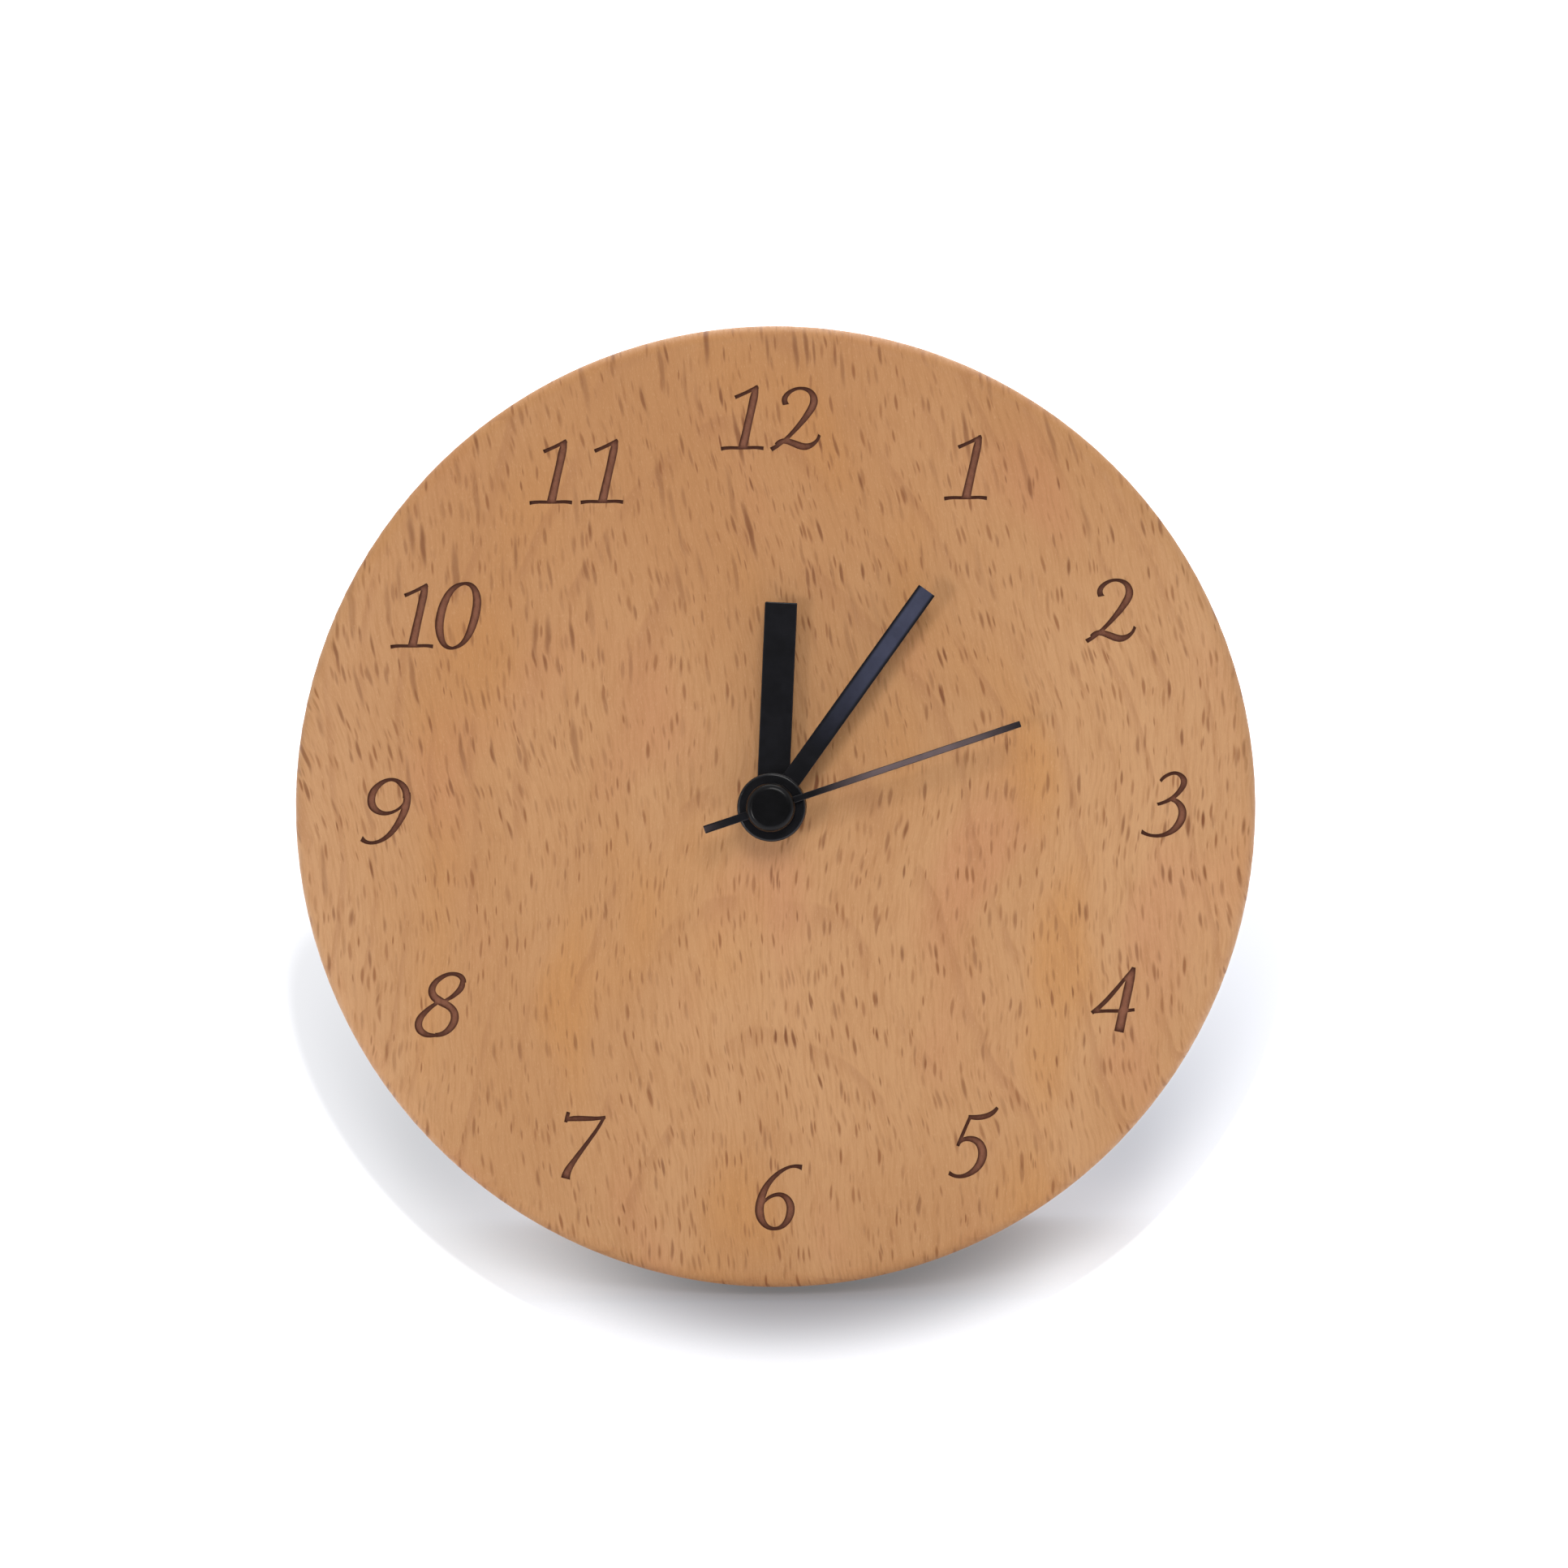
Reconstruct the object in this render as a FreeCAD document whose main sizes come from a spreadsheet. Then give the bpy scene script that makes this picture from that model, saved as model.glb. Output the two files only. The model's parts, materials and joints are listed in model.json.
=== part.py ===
import FreeCAD, Part
import math
import os

from FreeCAD import Placement, Rotation, Vector

# A wooden desk clock: a turned beech bowl with an engraved dial, which leans
# back on a felt foot and carries a quartz movement in a well in its back.
# Pieces are drawn in the dial's own frame: x to the viewer's right, y up the
# dial, z out of the face towards the viewer, zero on the face at the centre.
# A depth is a distance behind the face.

# Every driving dimension, in millimetres and degrees.
SIZES = {
    # body
    "face_radius": 60.0,
    "rim_taper": 4.0,
    "body_depth": 40.0,
    "front_edge_radius": 2.0,
    "rear_edge_radius": 1.5,
    "well_edge_radius": 1.0,
    "web_thickness": 7.0,
    "well_gap": 1.3,
    "lean_angle": 12.0,
    "felt_thickness": 1.0,
    "felt_inset": 3.0,
    "cut_overrun": 5.0,
    # dial
    "numeral_margin": 11.6,
    "numeral_height": 8.05,
    "engraving_depth": 0.4,
    "engraving_overrun": 0.5,
    # clearances
    "run_gap": 0.05,
    "press_gap": 0.01,
    "fit_gap": 0.1,
    "end_gap": 0.3,
    # movement case
    "gasket_thickness": 1.0,
    "gasket_radius": 15.0,
    "case_wall": 1.2,
    "neck_radius": 4.0,
    "neck_recess": 0.5,
    "ear_reach": 5.0,
    "ear_margin": 4.0,
    "ear_thickness": 1.6,
    "ear_foot_radius": 3.0,
    "post_radius": 1.6,
    "post_inset": 2.6,
    "boss_radius": 1.3,
    "boss_height": 1.0,
    "rear_space": 2.0,
    # layers of the wheel train
    "wheel_thickness": 0.8,
    "layer_gap": 0.8,
    "pinion_overhang": 0.2,
    "plate_thickness": 1.2,
    "arbor_radius": 0.4,
    "stud_radius": 0.5,
    "hub_radius": 1.3,
    # gear modules and the directions from axis to axis
    "rotor_module": 0.4,
    "train_module": 0.3,
    "motion_module": 0.3,
    "intermediate_angle": 60.0,
    "rotor_angle": 30.0,
    "third_angle": 150.0,
    "minute_wheel_angle": 0.0,
    "knob_angle": -20.0,
    # arbors and pipes at the centre
    "seconds_arbor_radius": 0.5,
    "cannon_bore_gap": 0.1,
    "cannon_radius": 1.35,
    "pipe_radius": 2.5,
    # hands
    "hour_hand_height": 3.0,
    "hand_thickness": 0.6,
    "second_hand_thickness": 0.4,
    "hand_gap": 1.2,
    "hand_edge_radius": 0.3,
    "hour_hand_length": 25.4,
    "hour_hand_width": 4.0,
    "hour_collar_radius": 4.0,
    "hour_collar_height": 1.2,
    "minute_hand_length": 33.0,
    "minute_hand_width": 2.4,
    "minute_boss_radius": 4.25,
    "minute_boss_height": 1.4,
    "second_hand_length": 32.5,
    "second_hand_width": 0.8,
    "second_tail_length": 8.7,
    "second_tail_width": 1.0,
    "second_bush_radius": 1.6,
    "second_bush_height": 0.4,
    "cap_radius": 3.02,
    "cap_height": 1.8,
    "cap_edge_radius": 0.8,
    "cap_socket_depth": 0.5,
    # setting knob
    "knob_radius": 6.0,
    "knob_thickness": 3.5,
    "knob_flute_depth": 0.35,
    "knob_shaft_radius": 0.8,
    "knob_standoff": 0.5,
    # battery, its tray and contacts
    "battery_radius": 7.25,
    "battery_length": 50.5,
    "battery_nub_radius": 2.75,
    "battery_nub_length": 1.0,
    "battery_edge_radius": 0.5,
    "battery_gap": 0.15,
    "tray_wall": 0.8,
    "contact_space": 0.75,
    "contact_thickness": 0.3,
    "contact_width": 7.0,
    "contact_length": 9.0,
    "contact_bump_radius": 2.0,
    # rotor, stator and coil
    "magnet_radius": 3.0,
    "magnet_height": 3.0,
    "air_gap": 0.4,
    "stator_ring_width": 2.0,
    "stator_thickness": 1.0,
    "stator_standoff": 2.3,
    "stator_leg_width": 3.0,
    "coil_spread": 8.5,
    "coil_offset": 8.7,
    "core_width": 2.4,
    "core_thickness": 1.0,
    "bobbin_wall": 0.5,
    "bobbin_flange": 6.4,
    "winding_radius": 2.8,
    # circuit board
    "board_width": 16.0,
    "board_height": 10.0,
    "board_thickness": 0.8,
    "board_standoff": 1.4,
    "board_corner_gap": 1.4,
    "board_post_radius": 1.0,
    "crystal_radius": 1.0,
    "crystal_length": 6.0,
    "chip_side": 3.6,
    "chip_height": 0.9,
    # mounting screws
    "screw_shank_radius": 1.4,
    "screw_head_radius": 2.9,
    "screw_head_height": 1.8,
    "screw_edge_radius": 0.7,
    "screw_grip": 4.5,
    "screw_slot_width": 0.7,
    "screw_slot_depth": 0.8,
}

# Teeth of each wheel and pinion.
TOOTH_COUNTS = {
    "rotor_pinion": 8,
    "intermediate_wheel": 32,
    "intermediate_pinion": 8,
    "seconds_wheel": 60,
    "seconds_pinion": 8,
    "third_wheel": 60,
    "third_pinion": 8,
    "centre_wheel": 64,
    "cannon_pinion": 12,
    "minute_wheel": 36,
    "minute_pinion": 10,
    "hour_wheel": 40,
    "knob_pinion": 12,
    "knob_flutes": 30,
}

# Tooth form, as shares of the module and of the tooth pitch.
ADDENDUM_SHARE = 0.9
DEDENDUM_SHARE = 1.2
TOOTH_SHARE = 0.44
TIP_SHARE = 0.2
FLANK_BULGE_SHARE = 0.03

# Reach of a screw's cross slot from the head's middle, as a share of its radius.
SLOT_REACH_SHARE = 0.6

# Clockwise turn of each hand from twelve: the time is just after six past twelve.
HAND_ANGLES = {"hour": 3.0, "minute": 36.15, "second": 72.0}

# Pen strokes of the upright-standing italic digits. Each point is its place
# across and up from the baseline, and the stroke's width there, as shares of
# the digit's height.
DIGIT_STROKE_SHARES = {
    "0": [
        [(0.48, 0.99, 0.045), (0.31, 0.92, 0.085), (0.17, 0.72, 0.12), (0.09, 0.45, 0.135),
         (0.09, 0.20, 0.12), (0.17, 0.03, 0.075), (0.30, -0.01, 0.045)],
        [(0.46, 0.99, 0.045), (0.60, 0.94, 0.085), (0.665, 0.78, 0.125), (0.65, 0.55, 0.135),
         (0.57, 0.28, 0.12), (0.44, 0.07, 0.075), (0.28, -0.01, 0.045)],
    ],
    "1": [
        [(0.565, 0.985, 0.05), (0.53, 0.86, 0.115), (0.47, 0.60, 0.12), (0.41, 0.35, 0.125),
         (0.335, 0.02, 0.14)],
        [(0.225, 0.81, 0.06), (0.38, 0.875, 0.055), (0.585, 0.975, 0.06)],
        [(0.0, 0.02, 0.06), (0.16, 0.035, 0.05), (0.33, 0.03, 0.05), (0.50, 0.035, 0.05),
         (0.66, 0.02, 0.06)],
    ],
    "2": [
        [(0.27, 0.69, 0.10), (0.25, 0.79, 0.085), (0.35, 0.90, 0.06), (0.50, 0.94, 0.05),
         (0.65, 0.88, 0.085), (0.70, 0.75, 0.12), (0.63, 0.58, 0.11), (0.44, 0.34, 0.075),
         (0.25, 0.15, 0.06), (0.03, 0.0, 0.07)],
        [(0.10, 0.07, 0.06), (0.24, 0.13, 0.085), (0.42, 0.075, 0.11), (0.58, 0.04, 0.10),
         (0.68, 0.08, 0.07), (0.78, 0.22, 0.05)],
    ],
    "3": [
        [(0.30, 0.84, 0.05), (0.42, 0.94, 0.055), (0.57, 0.955, 0.06), (0.66, 0.86, 0.10),
         (0.59, 0.68, 0.08), (0.43, 0.55, 0.06), (0.25, 0.485, 0.05)],
        [(0.40, 0.55, 0.045), (0.54, 0.53, 0.08), (0.63, 0.40, 0.12), (0.60, 0.22, 0.125),
         (0.45, 0.06, 0.085), (0.25, 0.0, 0.055), (0.0, 0.07, 0.07)],
    ],
    "4": [
        [(0.645, 0.96, 0.05), (0.44, 0.72, 0.06), (0.22, 0.47, 0.07), (0.0, 0.285, 0.06)],
        [(0.03, 0.30, 0.05), (0.25, 0.315, 0.055), (0.50, 0.315, 0.055), (0.66, 0.33, 0.05)],
        [(0.655, 0.985, 0.06), (0.60, 0.80, 0.13), (0.53, 0.50, 0.14), (0.46, 0.20, 0.145),
         (0.415, -0.01, 0.15)],
    ],
    "5": [
        [(0.81, 1.04, 0.05), (0.72, 0.95, 0.075), (0.57, 0.895, 0.085), (0.36, 0.90, 0.06)],
        [(0.385, 0.89, 0.055), (0.32, 0.75, 0.05), (0.22, 0.52, 0.055), (0.19, 0.45, 0.05)],
        [(0.19, 0.46, 0.05), (0.33, 0.56, 0.075), (0.49, 0.52, 0.115), (0.57, 0.38, 0.14),
         (0.53, 0.18, 0.125), (0.38, 0.03, 0.085), (0.21, -0.02, 0.06), (0.05, 0.04, 0.07)],
    ],
    "6": [
        [(0.77, 0.94, 0.09), (0.62, 0.96, 0.05), (0.42, 0.87, 0.065), (0.22, 0.66, 0.095),
         (0.12, 0.42, 0.13), (0.11, 0.22, 0.135), (0.20, 0.05, 0.085), (0.35, 0.0, 0.055)],
        [(0.15, 0.36, 0.05), (0.29, 0.50, 0.055), (0.45, 0.52, 0.075), (0.57, 0.40, 0.12),
         (0.57, 0.20, 0.12), (0.46, 0.04, 0.075), (0.32, 0.0, 0.055)],
    ],
    "7": [
        [(0.145, 1.02, 0.06), (0.12, 0.93, 0.06), (0.10, 0.86, 0.05)],
        [(0.11, 0.905, 0.06), (0.30, 0.92, 0.085), (0.50, 0.915, 0.07), (0.72, 0.935, 0.05)],
        [(0.70, 0.945, 0.05), (0.58, 0.74, 0.055), (0.40, 0.50, 0.065), (0.22, 0.26, 0.085),
         (0.12, 0.10, 0.12), (0.09, -0.01, 0.145)],
    ],
    "8": [
        [(0.775, 0.82, 0.10), (0.745, 0.92, 0.085), (0.60, 0.97, 0.06), (0.43, 0.91, 0.075),
         (0.31, 0.79, 0.10), (0.29, 0.68, 0.12), (0.37, 0.575, 0.13), (0.50, 0.50, 0.12),
         (0.61, 0.41, 0.12), (0.64, 0.29, 0.125), (0.59, 0.16, 0.115), (0.48, 0.06, 0.085),
         (0.34, 0.025, 0.07)],
        [(0.76, 0.88, 0.055), (0.75, 0.77, 0.095), (0.67, 0.67, 0.08), (0.56, 0.59, 0.06),
         (0.45, 0.54, 0.05)],
        [(0.40, 0.54, 0.05), (0.30, 0.48, 0.065), (0.18, 0.38, 0.085), (0.09, 0.26, 0.11),
         (0.08, 0.14, 0.12), (0.16, 0.05, 0.10), (0.28, 0.02, 0.065), (0.42, 0.035, 0.045)],
    ],
    "9": [
        [(0.70, 0.70, 0.12), (0.65, 0.88, 0.10), (0.49, 0.975, 0.055), (0.30, 0.91, 0.08),
         (0.17, 0.74, 0.12), (0.18, 0.56, 0.12), (0.32, 0.46, 0.075), (0.48, 0.47, 0.05),
         (0.66, 0.60, 0.05)],
        [(0.715, 0.78, 0.105), (0.69, 0.54, 0.12), (0.58, 0.31, 0.10), (0.44, 0.13, 0.08),
         (0.28, 0.025, 0.06), (0.13, 0.0, 0.055), (0.0, 0.07, 0.09)],
    ],
}
DIGIT_WIDTH_SHARES = {"0": 0.72, "1": 0.66, "2": 0.78, "3": 0.69, "4": 0.66, "5": 0.81,
                      "6": 0.77, "7": 0.72, "8": 0.80, "9": 0.75}
# Where the second digit starts in ten, eleven and twelve.
SECOND_DIGIT_SHARES = {"10": 0.68, "11": 0.79, "12": 0.745}

SHEET_NAME = "Sizes"


class Size:
    """A number, and the sheet formula that gives it, worked out side by side."""

    def __init__(self, number, formula):
        self.number = float(number)
        self.formula = formula

    def __float__(self):
        return self.number

    def __neg__(self):
        return Size(-self.number, f"(0 - {self.formula})")

    def __add__(self, other):
        other = as_size(other)
        return Size(self.number + other.number, f"({self.formula} + {other.formula})")

    def __sub__(self, other):
        other = as_size(other)
        return Size(self.number - other.number, f"({self.formula} - {other.formula})")

    def __mul__(self, other):
        other = as_size(other)
        return Size(self.number * other.number, f"({self.formula} * {other.formula})")

    def __truediv__(self, other):
        other = as_size(other)
        return Size(self.number / other.number, f"({self.formula} / {other.formula})")

    def __radd__(self, other):
        return as_size(other) + self

    def __rsub__(self, other):
        return as_size(other) - self

    def __rmul__(self, other):
        return as_size(other) * self


def as_size(value):
    """Return value as a Size, so that plain numbers can stand in a formula."""
    if isinstance(value, Size):
        return value
    return Size(value, f"{float(value)}")


def sine(angle):
    return Size(math.sin(math.radians(angle.number)), f"sin({angle.formula})")


def cosine(angle):
    return Size(math.cos(math.radians(angle.number)), f"cos({angle.formula})")


def make_sheet(doc):
    """Put the driving dimensions in a sheet, and return them by name as sizes."""
    sheet = doc.addObject("Spreadsheet::Sheet", SHEET_NAME)
    for row, (alias, number) in enumerate(SIZES.items(), start=1):
        sheet.set(f"A{row}", alias)
        sheet.set(f"B{row}", str(number))
        sheet.setAlias(f"B{row}", alias)
    doc.recompute()
    return {alias: Size(sheet.get(alias), f"{SHEET_NAME}.{alias}") for alias in SIZES}


doc = FreeCAD.newDocument("desk_clock")
size = make_sheet(doc)
ZERO = Size(0, "0")
sub_parts = []


# Places that several pieces share.

# The seat of the dial frame in the clock's own frame: the desk is at zero
# height and the felt's middle is at the origin.
lean_sine = sine(size["lean_angle"])
lean_cosine = cosine(size["lean_angle"])
rear_radius = size["face_radius"] - size["rim_taper"]
side_taper = size["rim_taper"] / size["body_depth"]
facet_start = (side_taper * size["front_edge_radius"]) / (lean_sine - side_taper * lean_cosine)
facet_length = (size["body_depth"] - size["front_edge_radius"]) / lean_cosine
felt_start = facet_start + size["felt_inset"]
felt_end = facet_length - size["felt_inset"]
felt_middle = (felt_start + felt_end) / 2
seat_y = (size["face_radius"] * lean_sine - size["front_edge_radius"] * lean_cosine
          - felt_middle)
seat_z = (size["face_radius"] * lean_cosine + size["front_edge_radius"] * lean_sine
          + size["felt_thickness"])

# Depths behind the face, from the web back through the movement.
case_front_depth = size["web_thickness"] + size["gasket_thickness"]
front_wall_back = case_front_depth + size["case_wall"]
layer_pitch = size["wheel_thickness"] + size["layer_gap"]
hour_level = front_wall_back + size["layer_gap"]
minute_level = hour_level + layer_pitch
plate_front = minute_level + layer_pitch
plate_back = plate_front + size["plate_thickness"]
centre_level = plate_back + size["layer_gap"]
third_level = centre_level + layer_pitch
seconds_level = third_level + layer_pitch
intermediate_level = seconds_level + layer_pitch
rear_wall_front = intermediate_level + size["wheel_thickness"] + size["rear_space"]
case_back_depth = rear_wall_front + size["case_wall"]
boss_front = rear_wall_front - size["boss_height"]
arbor_back = rear_wall_front - size["fit_gap"]

# The square case is as wide as the battery and its tray.
tray_half_length = size["battery_length"] / 2 + size["contact_space"]
inner_half = tray_half_length + size["tray_wall"] + size["fit_gap"]
case_half = inner_half + size["case_wall"]
well_radius = case_half * 2 ** 0.5 + size["well_gap"]
tray_radius = size["battery_radius"] + size["battery_gap"]
battery_y = -(inner_half - size["fit_gap"] - size["tray_wall"] - tray_radius)
battery_depth = front_wall_back + size["fit_gap"] + size["tray_wall"] + tray_radius
tray_front = front_wall_back + size["fit_gap"]
tray_bottom = -(inner_half - size["fit_gap"])
tray_top = battery_y + tray_radius + size["tray_wall"]
ear_x = case_half + size["ear_reach"]
post_x = inner_half - size["post_inset"]
upper_post_y = inner_half - size["post_inset"]
lower_post_y = tray_top + size["post_inset"]
post_places = [(sign * post_x, y) for sign in (-1, 1) for y in (lower_post_y, upper_post_y)]

# Radii of the coaxial pieces at the centre.
cannon_bore = size["seconds_arbor_radius"] + size["cannon_bore_gap"]
pipe_bore = size["cannon_radius"] + size["run_gap"]
neck_bore = size["pipe_radius"] + size["fit_gap"]
neck_hole = size["neck_radius"] + size["fit_gap"]

# Heights of the hands above the face.
hour_hand_top = size["hour_hand_height"] + size["hand_thickness"]
minute_hand_height = hour_hand_top + size["hand_gap"]
minute_hand_top = minute_hand_height + size["hand_thickness"]
minute_boss_bottom = minute_hand_top + size["hand_thickness"] - size["minute_boss_height"]
minute_boss_top = minute_boss_bottom + size["minute_boss_height"]
second_hand_height = minute_boss_top + size["hand_gap"] / 2
second_hand_top = second_hand_height + size["second_hand_thickness"]


def centre_distance(module, first, second):
    return module * ((TOOTH_COUNTS[first] + TOOTH_COUNTS[second]) / 2)


def step(place, angle, distance):
    """The place that lies a distance from another in the direction of an angle."""
    return place[0] + distance * cosine(angle), place[1] + distance * sine(angle)


# The centre wheel and the hour wheel share their axis with another pair, so
# their modules follow from the distance that is already set.
centre_module = (size["train_module"]
                 * ((TOOTH_COUNTS["seconds_pinion"] + TOOTH_COUNTS["third_wheel"])
                    / (TOOTH_COUNTS["third_pinion"] + TOOTH_COUNTS["centre_wheel"])))
hour_module = (size["motion_module"]
               * ((TOOTH_COUNTS["cannon_pinion"] + TOOTH_COUNTS["minute_wheel"])
                  / (TOOTH_COUNTS["minute_pinion"] + TOOTH_COUNTS["hour_wheel"])))

centre_axis = (ZERO, ZERO)
intermediate_axis = step(centre_axis, size["intermediate_angle"],
                         centre_distance(size["train_module"], "intermediate_pinion",
                                         "seconds_wheel"))
rotor_axis = step(intermediate_axis, size["rotor_angle"],
                  centre_distance(size["rotor_module"], "rotor_pinion",
                                  "intermediate_wheel"))
third_axis = step(centre_axis, size["third_angle"],
                  centre_distance(size["train_module"], "seconds_pinion", "third_wheel"))
minute_wheel_axis = step(centre_axis, size["minute_wheel_angle"],
                         centre_distance(size["motion_module"], "cannon_pinion",
                                         "minute_wheel"))
knob_axis = step(minute_wheel_axis, size["knob_angle"],
                 centre_distance(size["motion_module"], "minute_wheel", "knob_pinion"))


# Ways to make a piece.

def seat(piece, label, turn=0.0, axis=centre_axis):
    """Name a piece and place it: turned clockwise, moved to its axis, then leant back."""
    piece.Label = label
    lean = Rotation(Vector(1, 0, 0), 90 - size["lean_angle"].number)
    spin = Rotation(Vector(0, 0, 1), -turn)
    x = axis[0]
    y = seat_y + axis[1] * lean_sine
    z = seat_z + axis[1] * lean_cosine
    piece.Placement = Placement(Vector(x.number, y.number, z.number), lean.multiply(spin))
    piece.setExpression("Placement.Base.x", x.formula)
    piece.setExpression("Placement.Base.y", y.formula)
    piece.setExpression("Placement.Base.z", z.formula)
    sub_parts.append(piece)
    return piece


def new_body(name):
    return doc.addObject("PartDesign::Body", name + "_solid")


def shape_feature(body, kind, dimensions, x, y, z):
    """Add one primitive feature to a body, with its sizes and its place bound."""
    feature = body.newObject("PartDesign::" + kind, f"{body.Name}_{kind}")
    for name, dimension in dimensions.items():
        feature.setExpression(name, dimension.formula)
    for axis, place in zip("xyz", (x, y, z)):
        feature.setExpression("Placement.Base." + axis, as_size(place).formula)
    return feature


def cylinder(body, radius, bottom, top, axis=centre_axis, cut=False):
    """A cylinder along z from bottom to top, added to a body or cut from it."""
    kind = "SubtractiveCylinder" if cut else "AdditiveCylinder"
    return shape_feature(body, kind, {"Radius": radius, "Height": top - bottom},
                         axis[0], axis[1], bottom)


def bar(body, radius, left, right, y, z, cut=False):
    """A cylinder along x from left to right."""
    kind = "SubtractiveCylinder" if cut else "AdditiveCylinder"
    feature = shape_feature(body, kind, {"Radius": radius, "Height": right - left}, left, y, z)
    feature.setExpression("Placement.Rotation.Angle", "90")
    feature.Placement = Placement(feature.Placement.Base, Rotation(Vector(0, 1, 0), 90))
    return feature


def block(body, x_range, y_range, z_range, cut=False):
    """A box between two places along each axis."""
    kind = "SubtractiveBox" if cut else "AdditiveBox"
    dimensions = {
        "Length": x_range[1] - x_range[0],
        "Width": y_range[1] - y_range[0],
        "Height": z_range[1] - z_range[0],
    }
    return shape_feature(body, kind, dimensions, x_range[0], y_range[0], z_range[0])


def round_edges(body, radius, chosen):
    """Round the edges of a body's solid that the test picks out."""
    doc.recompute()
    last = body.Tip
    names = [f"Edge{number}" for number, edge in enumerate(last.Shape.Edges, start=1)
             if chosen(edge)]
    fillet = body.newObject("PartDesign::Fillet", body.Name + "_round")
    fillet.Base = (last, names)
    fillet.setExpression("Radius", radius.formula)
    return fillet


def is_ring(edge, radius, z):
    """Whether an edge is a whole circle about the z axis, of a radius and at a height."""
    curve = edge.Curve
    return (isinstance(curve, Part.Circle) and edge.isClosed()
            and math.isclose(curve.Radius, radius.number, abs_tol=Part.Precision.confusion())
            and math.isclose(curve.Center.z, z.number, abs_tol=Part.Precision.confusion()))


def tooth_points(teeth, module, first_tooth):
    """Corners of a toothed outline, one tooth after another, with a tooth at one angle."""
    pitch_radius = module * teeth / 2
    root_radius = pitch_radius - DEDENDUM_SHARE * module
    tip_radius = pitch_radius + ADDENDUM_SHARE * module
    middle_share = (TOOTH_SHARE + TIP_SHARE) / 2 + FLANK_BULGE_SHARE
    flank = [
        (root_radius, TOOTH_SHARE),
        (pitch_radius, TOOTH_SHARE),
        ((pitch_radius + tip_radius) / 2, middle_share),
        (tip_radius, TIP_SHARE),
    ]
    pitch = 2 * math.pi / teeth
    points = []
    for tooth in range(teeth):
        middle = first_tooth + tooth * pitch
        rising = [(radius, middle - share * pitch / 2) for radius, share in flank]
        falling = [(radius, middle + share * pitch / 2) for radius, share in reversed(flank)]
        for radius, angle in rising + falling:
            points.append(Vector(radius * math.cos(angle), radius * math.sin(angle), 0))
    return points


def prism(points, bottom, top):
    """A straight solid over a closed outline of corners."""
    outline = Part.makePolygon(points + points[:1])
    solid = Part.Face(outline).extrude(Vector(0, 0, top - bottom))
    solid.translate(Vector(0, 0, bottom))
    return solid


def rod(radius, bottom, top):
    return Part.makeCylinder(radius, top - bottom, Vector(0, 0, bottom))


def meshing_tooth(first_tooth, first_teeth, second_teeth, angle):
    """Angle of a tooth of the second wheel that meshes with the first wheel's teeth."""
    behind = (first_tooth - angle) * first_teeth / second_teeth
    return angle + math.pi + math.pi / second_teeth - behind


def turning_piece(label, axis, shapes, bore=None):
    """A wheel made of coaxial solids, with a bore right through, seated on its axis."""
    solid = shapes[0].multiFuse(shapes[1:]).removeSplitter() if len(shapes) > 1 else shapes[0]
    if bore is not None:
        box = solid.BoundBox
        overrun = size["cut_overrun"].number
        solid = solid.cut(rod(bore.number, box.ZMin - overrun, box.ZMax + overrun))
    piece = doc.addObject("Part::Feature", label + "_solid")
    piece.Shape = solid
    return seat(piece, label, axis=axis)


def toothed(name, module, front, back, first_tooth):
    """The toothed disc of one wheel or pinion between two depths."""
    points = tooth_points(TOOTH_COUNTS[name], module.number, first_tooth)
    return prism(points, -back.number, -front.number)


# The wooden body.

def digit_strokes(digit, height):
    """The outlines of one digit's pen strokes, as flat faces."""
    faces = []
    for stroke in DIGIT_STROKE_SHARES[digit]:
        centres = [Vector(across * height, up * height, 0) for across, up, _ in stroke]
        before = centres[:1] + centres
        after = centres[1:] + centres[-1:]
        left, right = [], []
        for centre, behind, ahead, (_, _, width_share) in zip(centres, before, after, stroke):
            along = (ahead - behind).normalize()
            aside = Vector(-along.y, along.x, 0) * (width_share * height / 2)
            left.append(centre + aside)
            right.append(centre - aside)
        sides = []
        for points in (left, list(reversed(right))):
            curve = Part.BSplineCurve()
            curve.interpolate(points)
            sides.append(curve.toShape())
        ends = [Part.makeLine(left[-1], right[-1]), Part.makeLine(right[0], left[0])]
        faces.append(Part.Face(Part.Wire([sides[0], ends[0], sides[1], ends[1]])))
    return faces


def numeral_cutter():
    """All twelve numerals, upright on their ring, as solids that reach into the face."""
    height = size["numeral_height"].number
    ring = (size["face_radius"] - size["numeral_margin"]).number
    bottom = -size["engraving_depth"].number
    lift = Vector(0, 0, size["engraving_overrun"].number - bottom)
    numerals = []
    for hour in range(1, 13):
        text = str(hour)
        starts = [0.0] + ([SECOND_DIGIT_SHARES[text] * height] if len(text) > 1 else [])
        width = starts[-1] + DIGIT_WIDTH_SHARES[text[-1]] * height
        angle = math.radians(30 * hour)
        corner = Vector(ring * math.sin(angle) - width / 2,
                        ring * math.cos(angle) - height / 2, bottom)
        for start, digit in zip(starts, text):
            solids = []
            for face in digit_strokes(digit, height):
                face.translate(corner + Vector(start, 0, 0))
                solids.append(face.extrude(lift))
            numerals.append(solids[0].multiFuse(solids[1:]))
    return Part.makeCompound(numerals)


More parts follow.
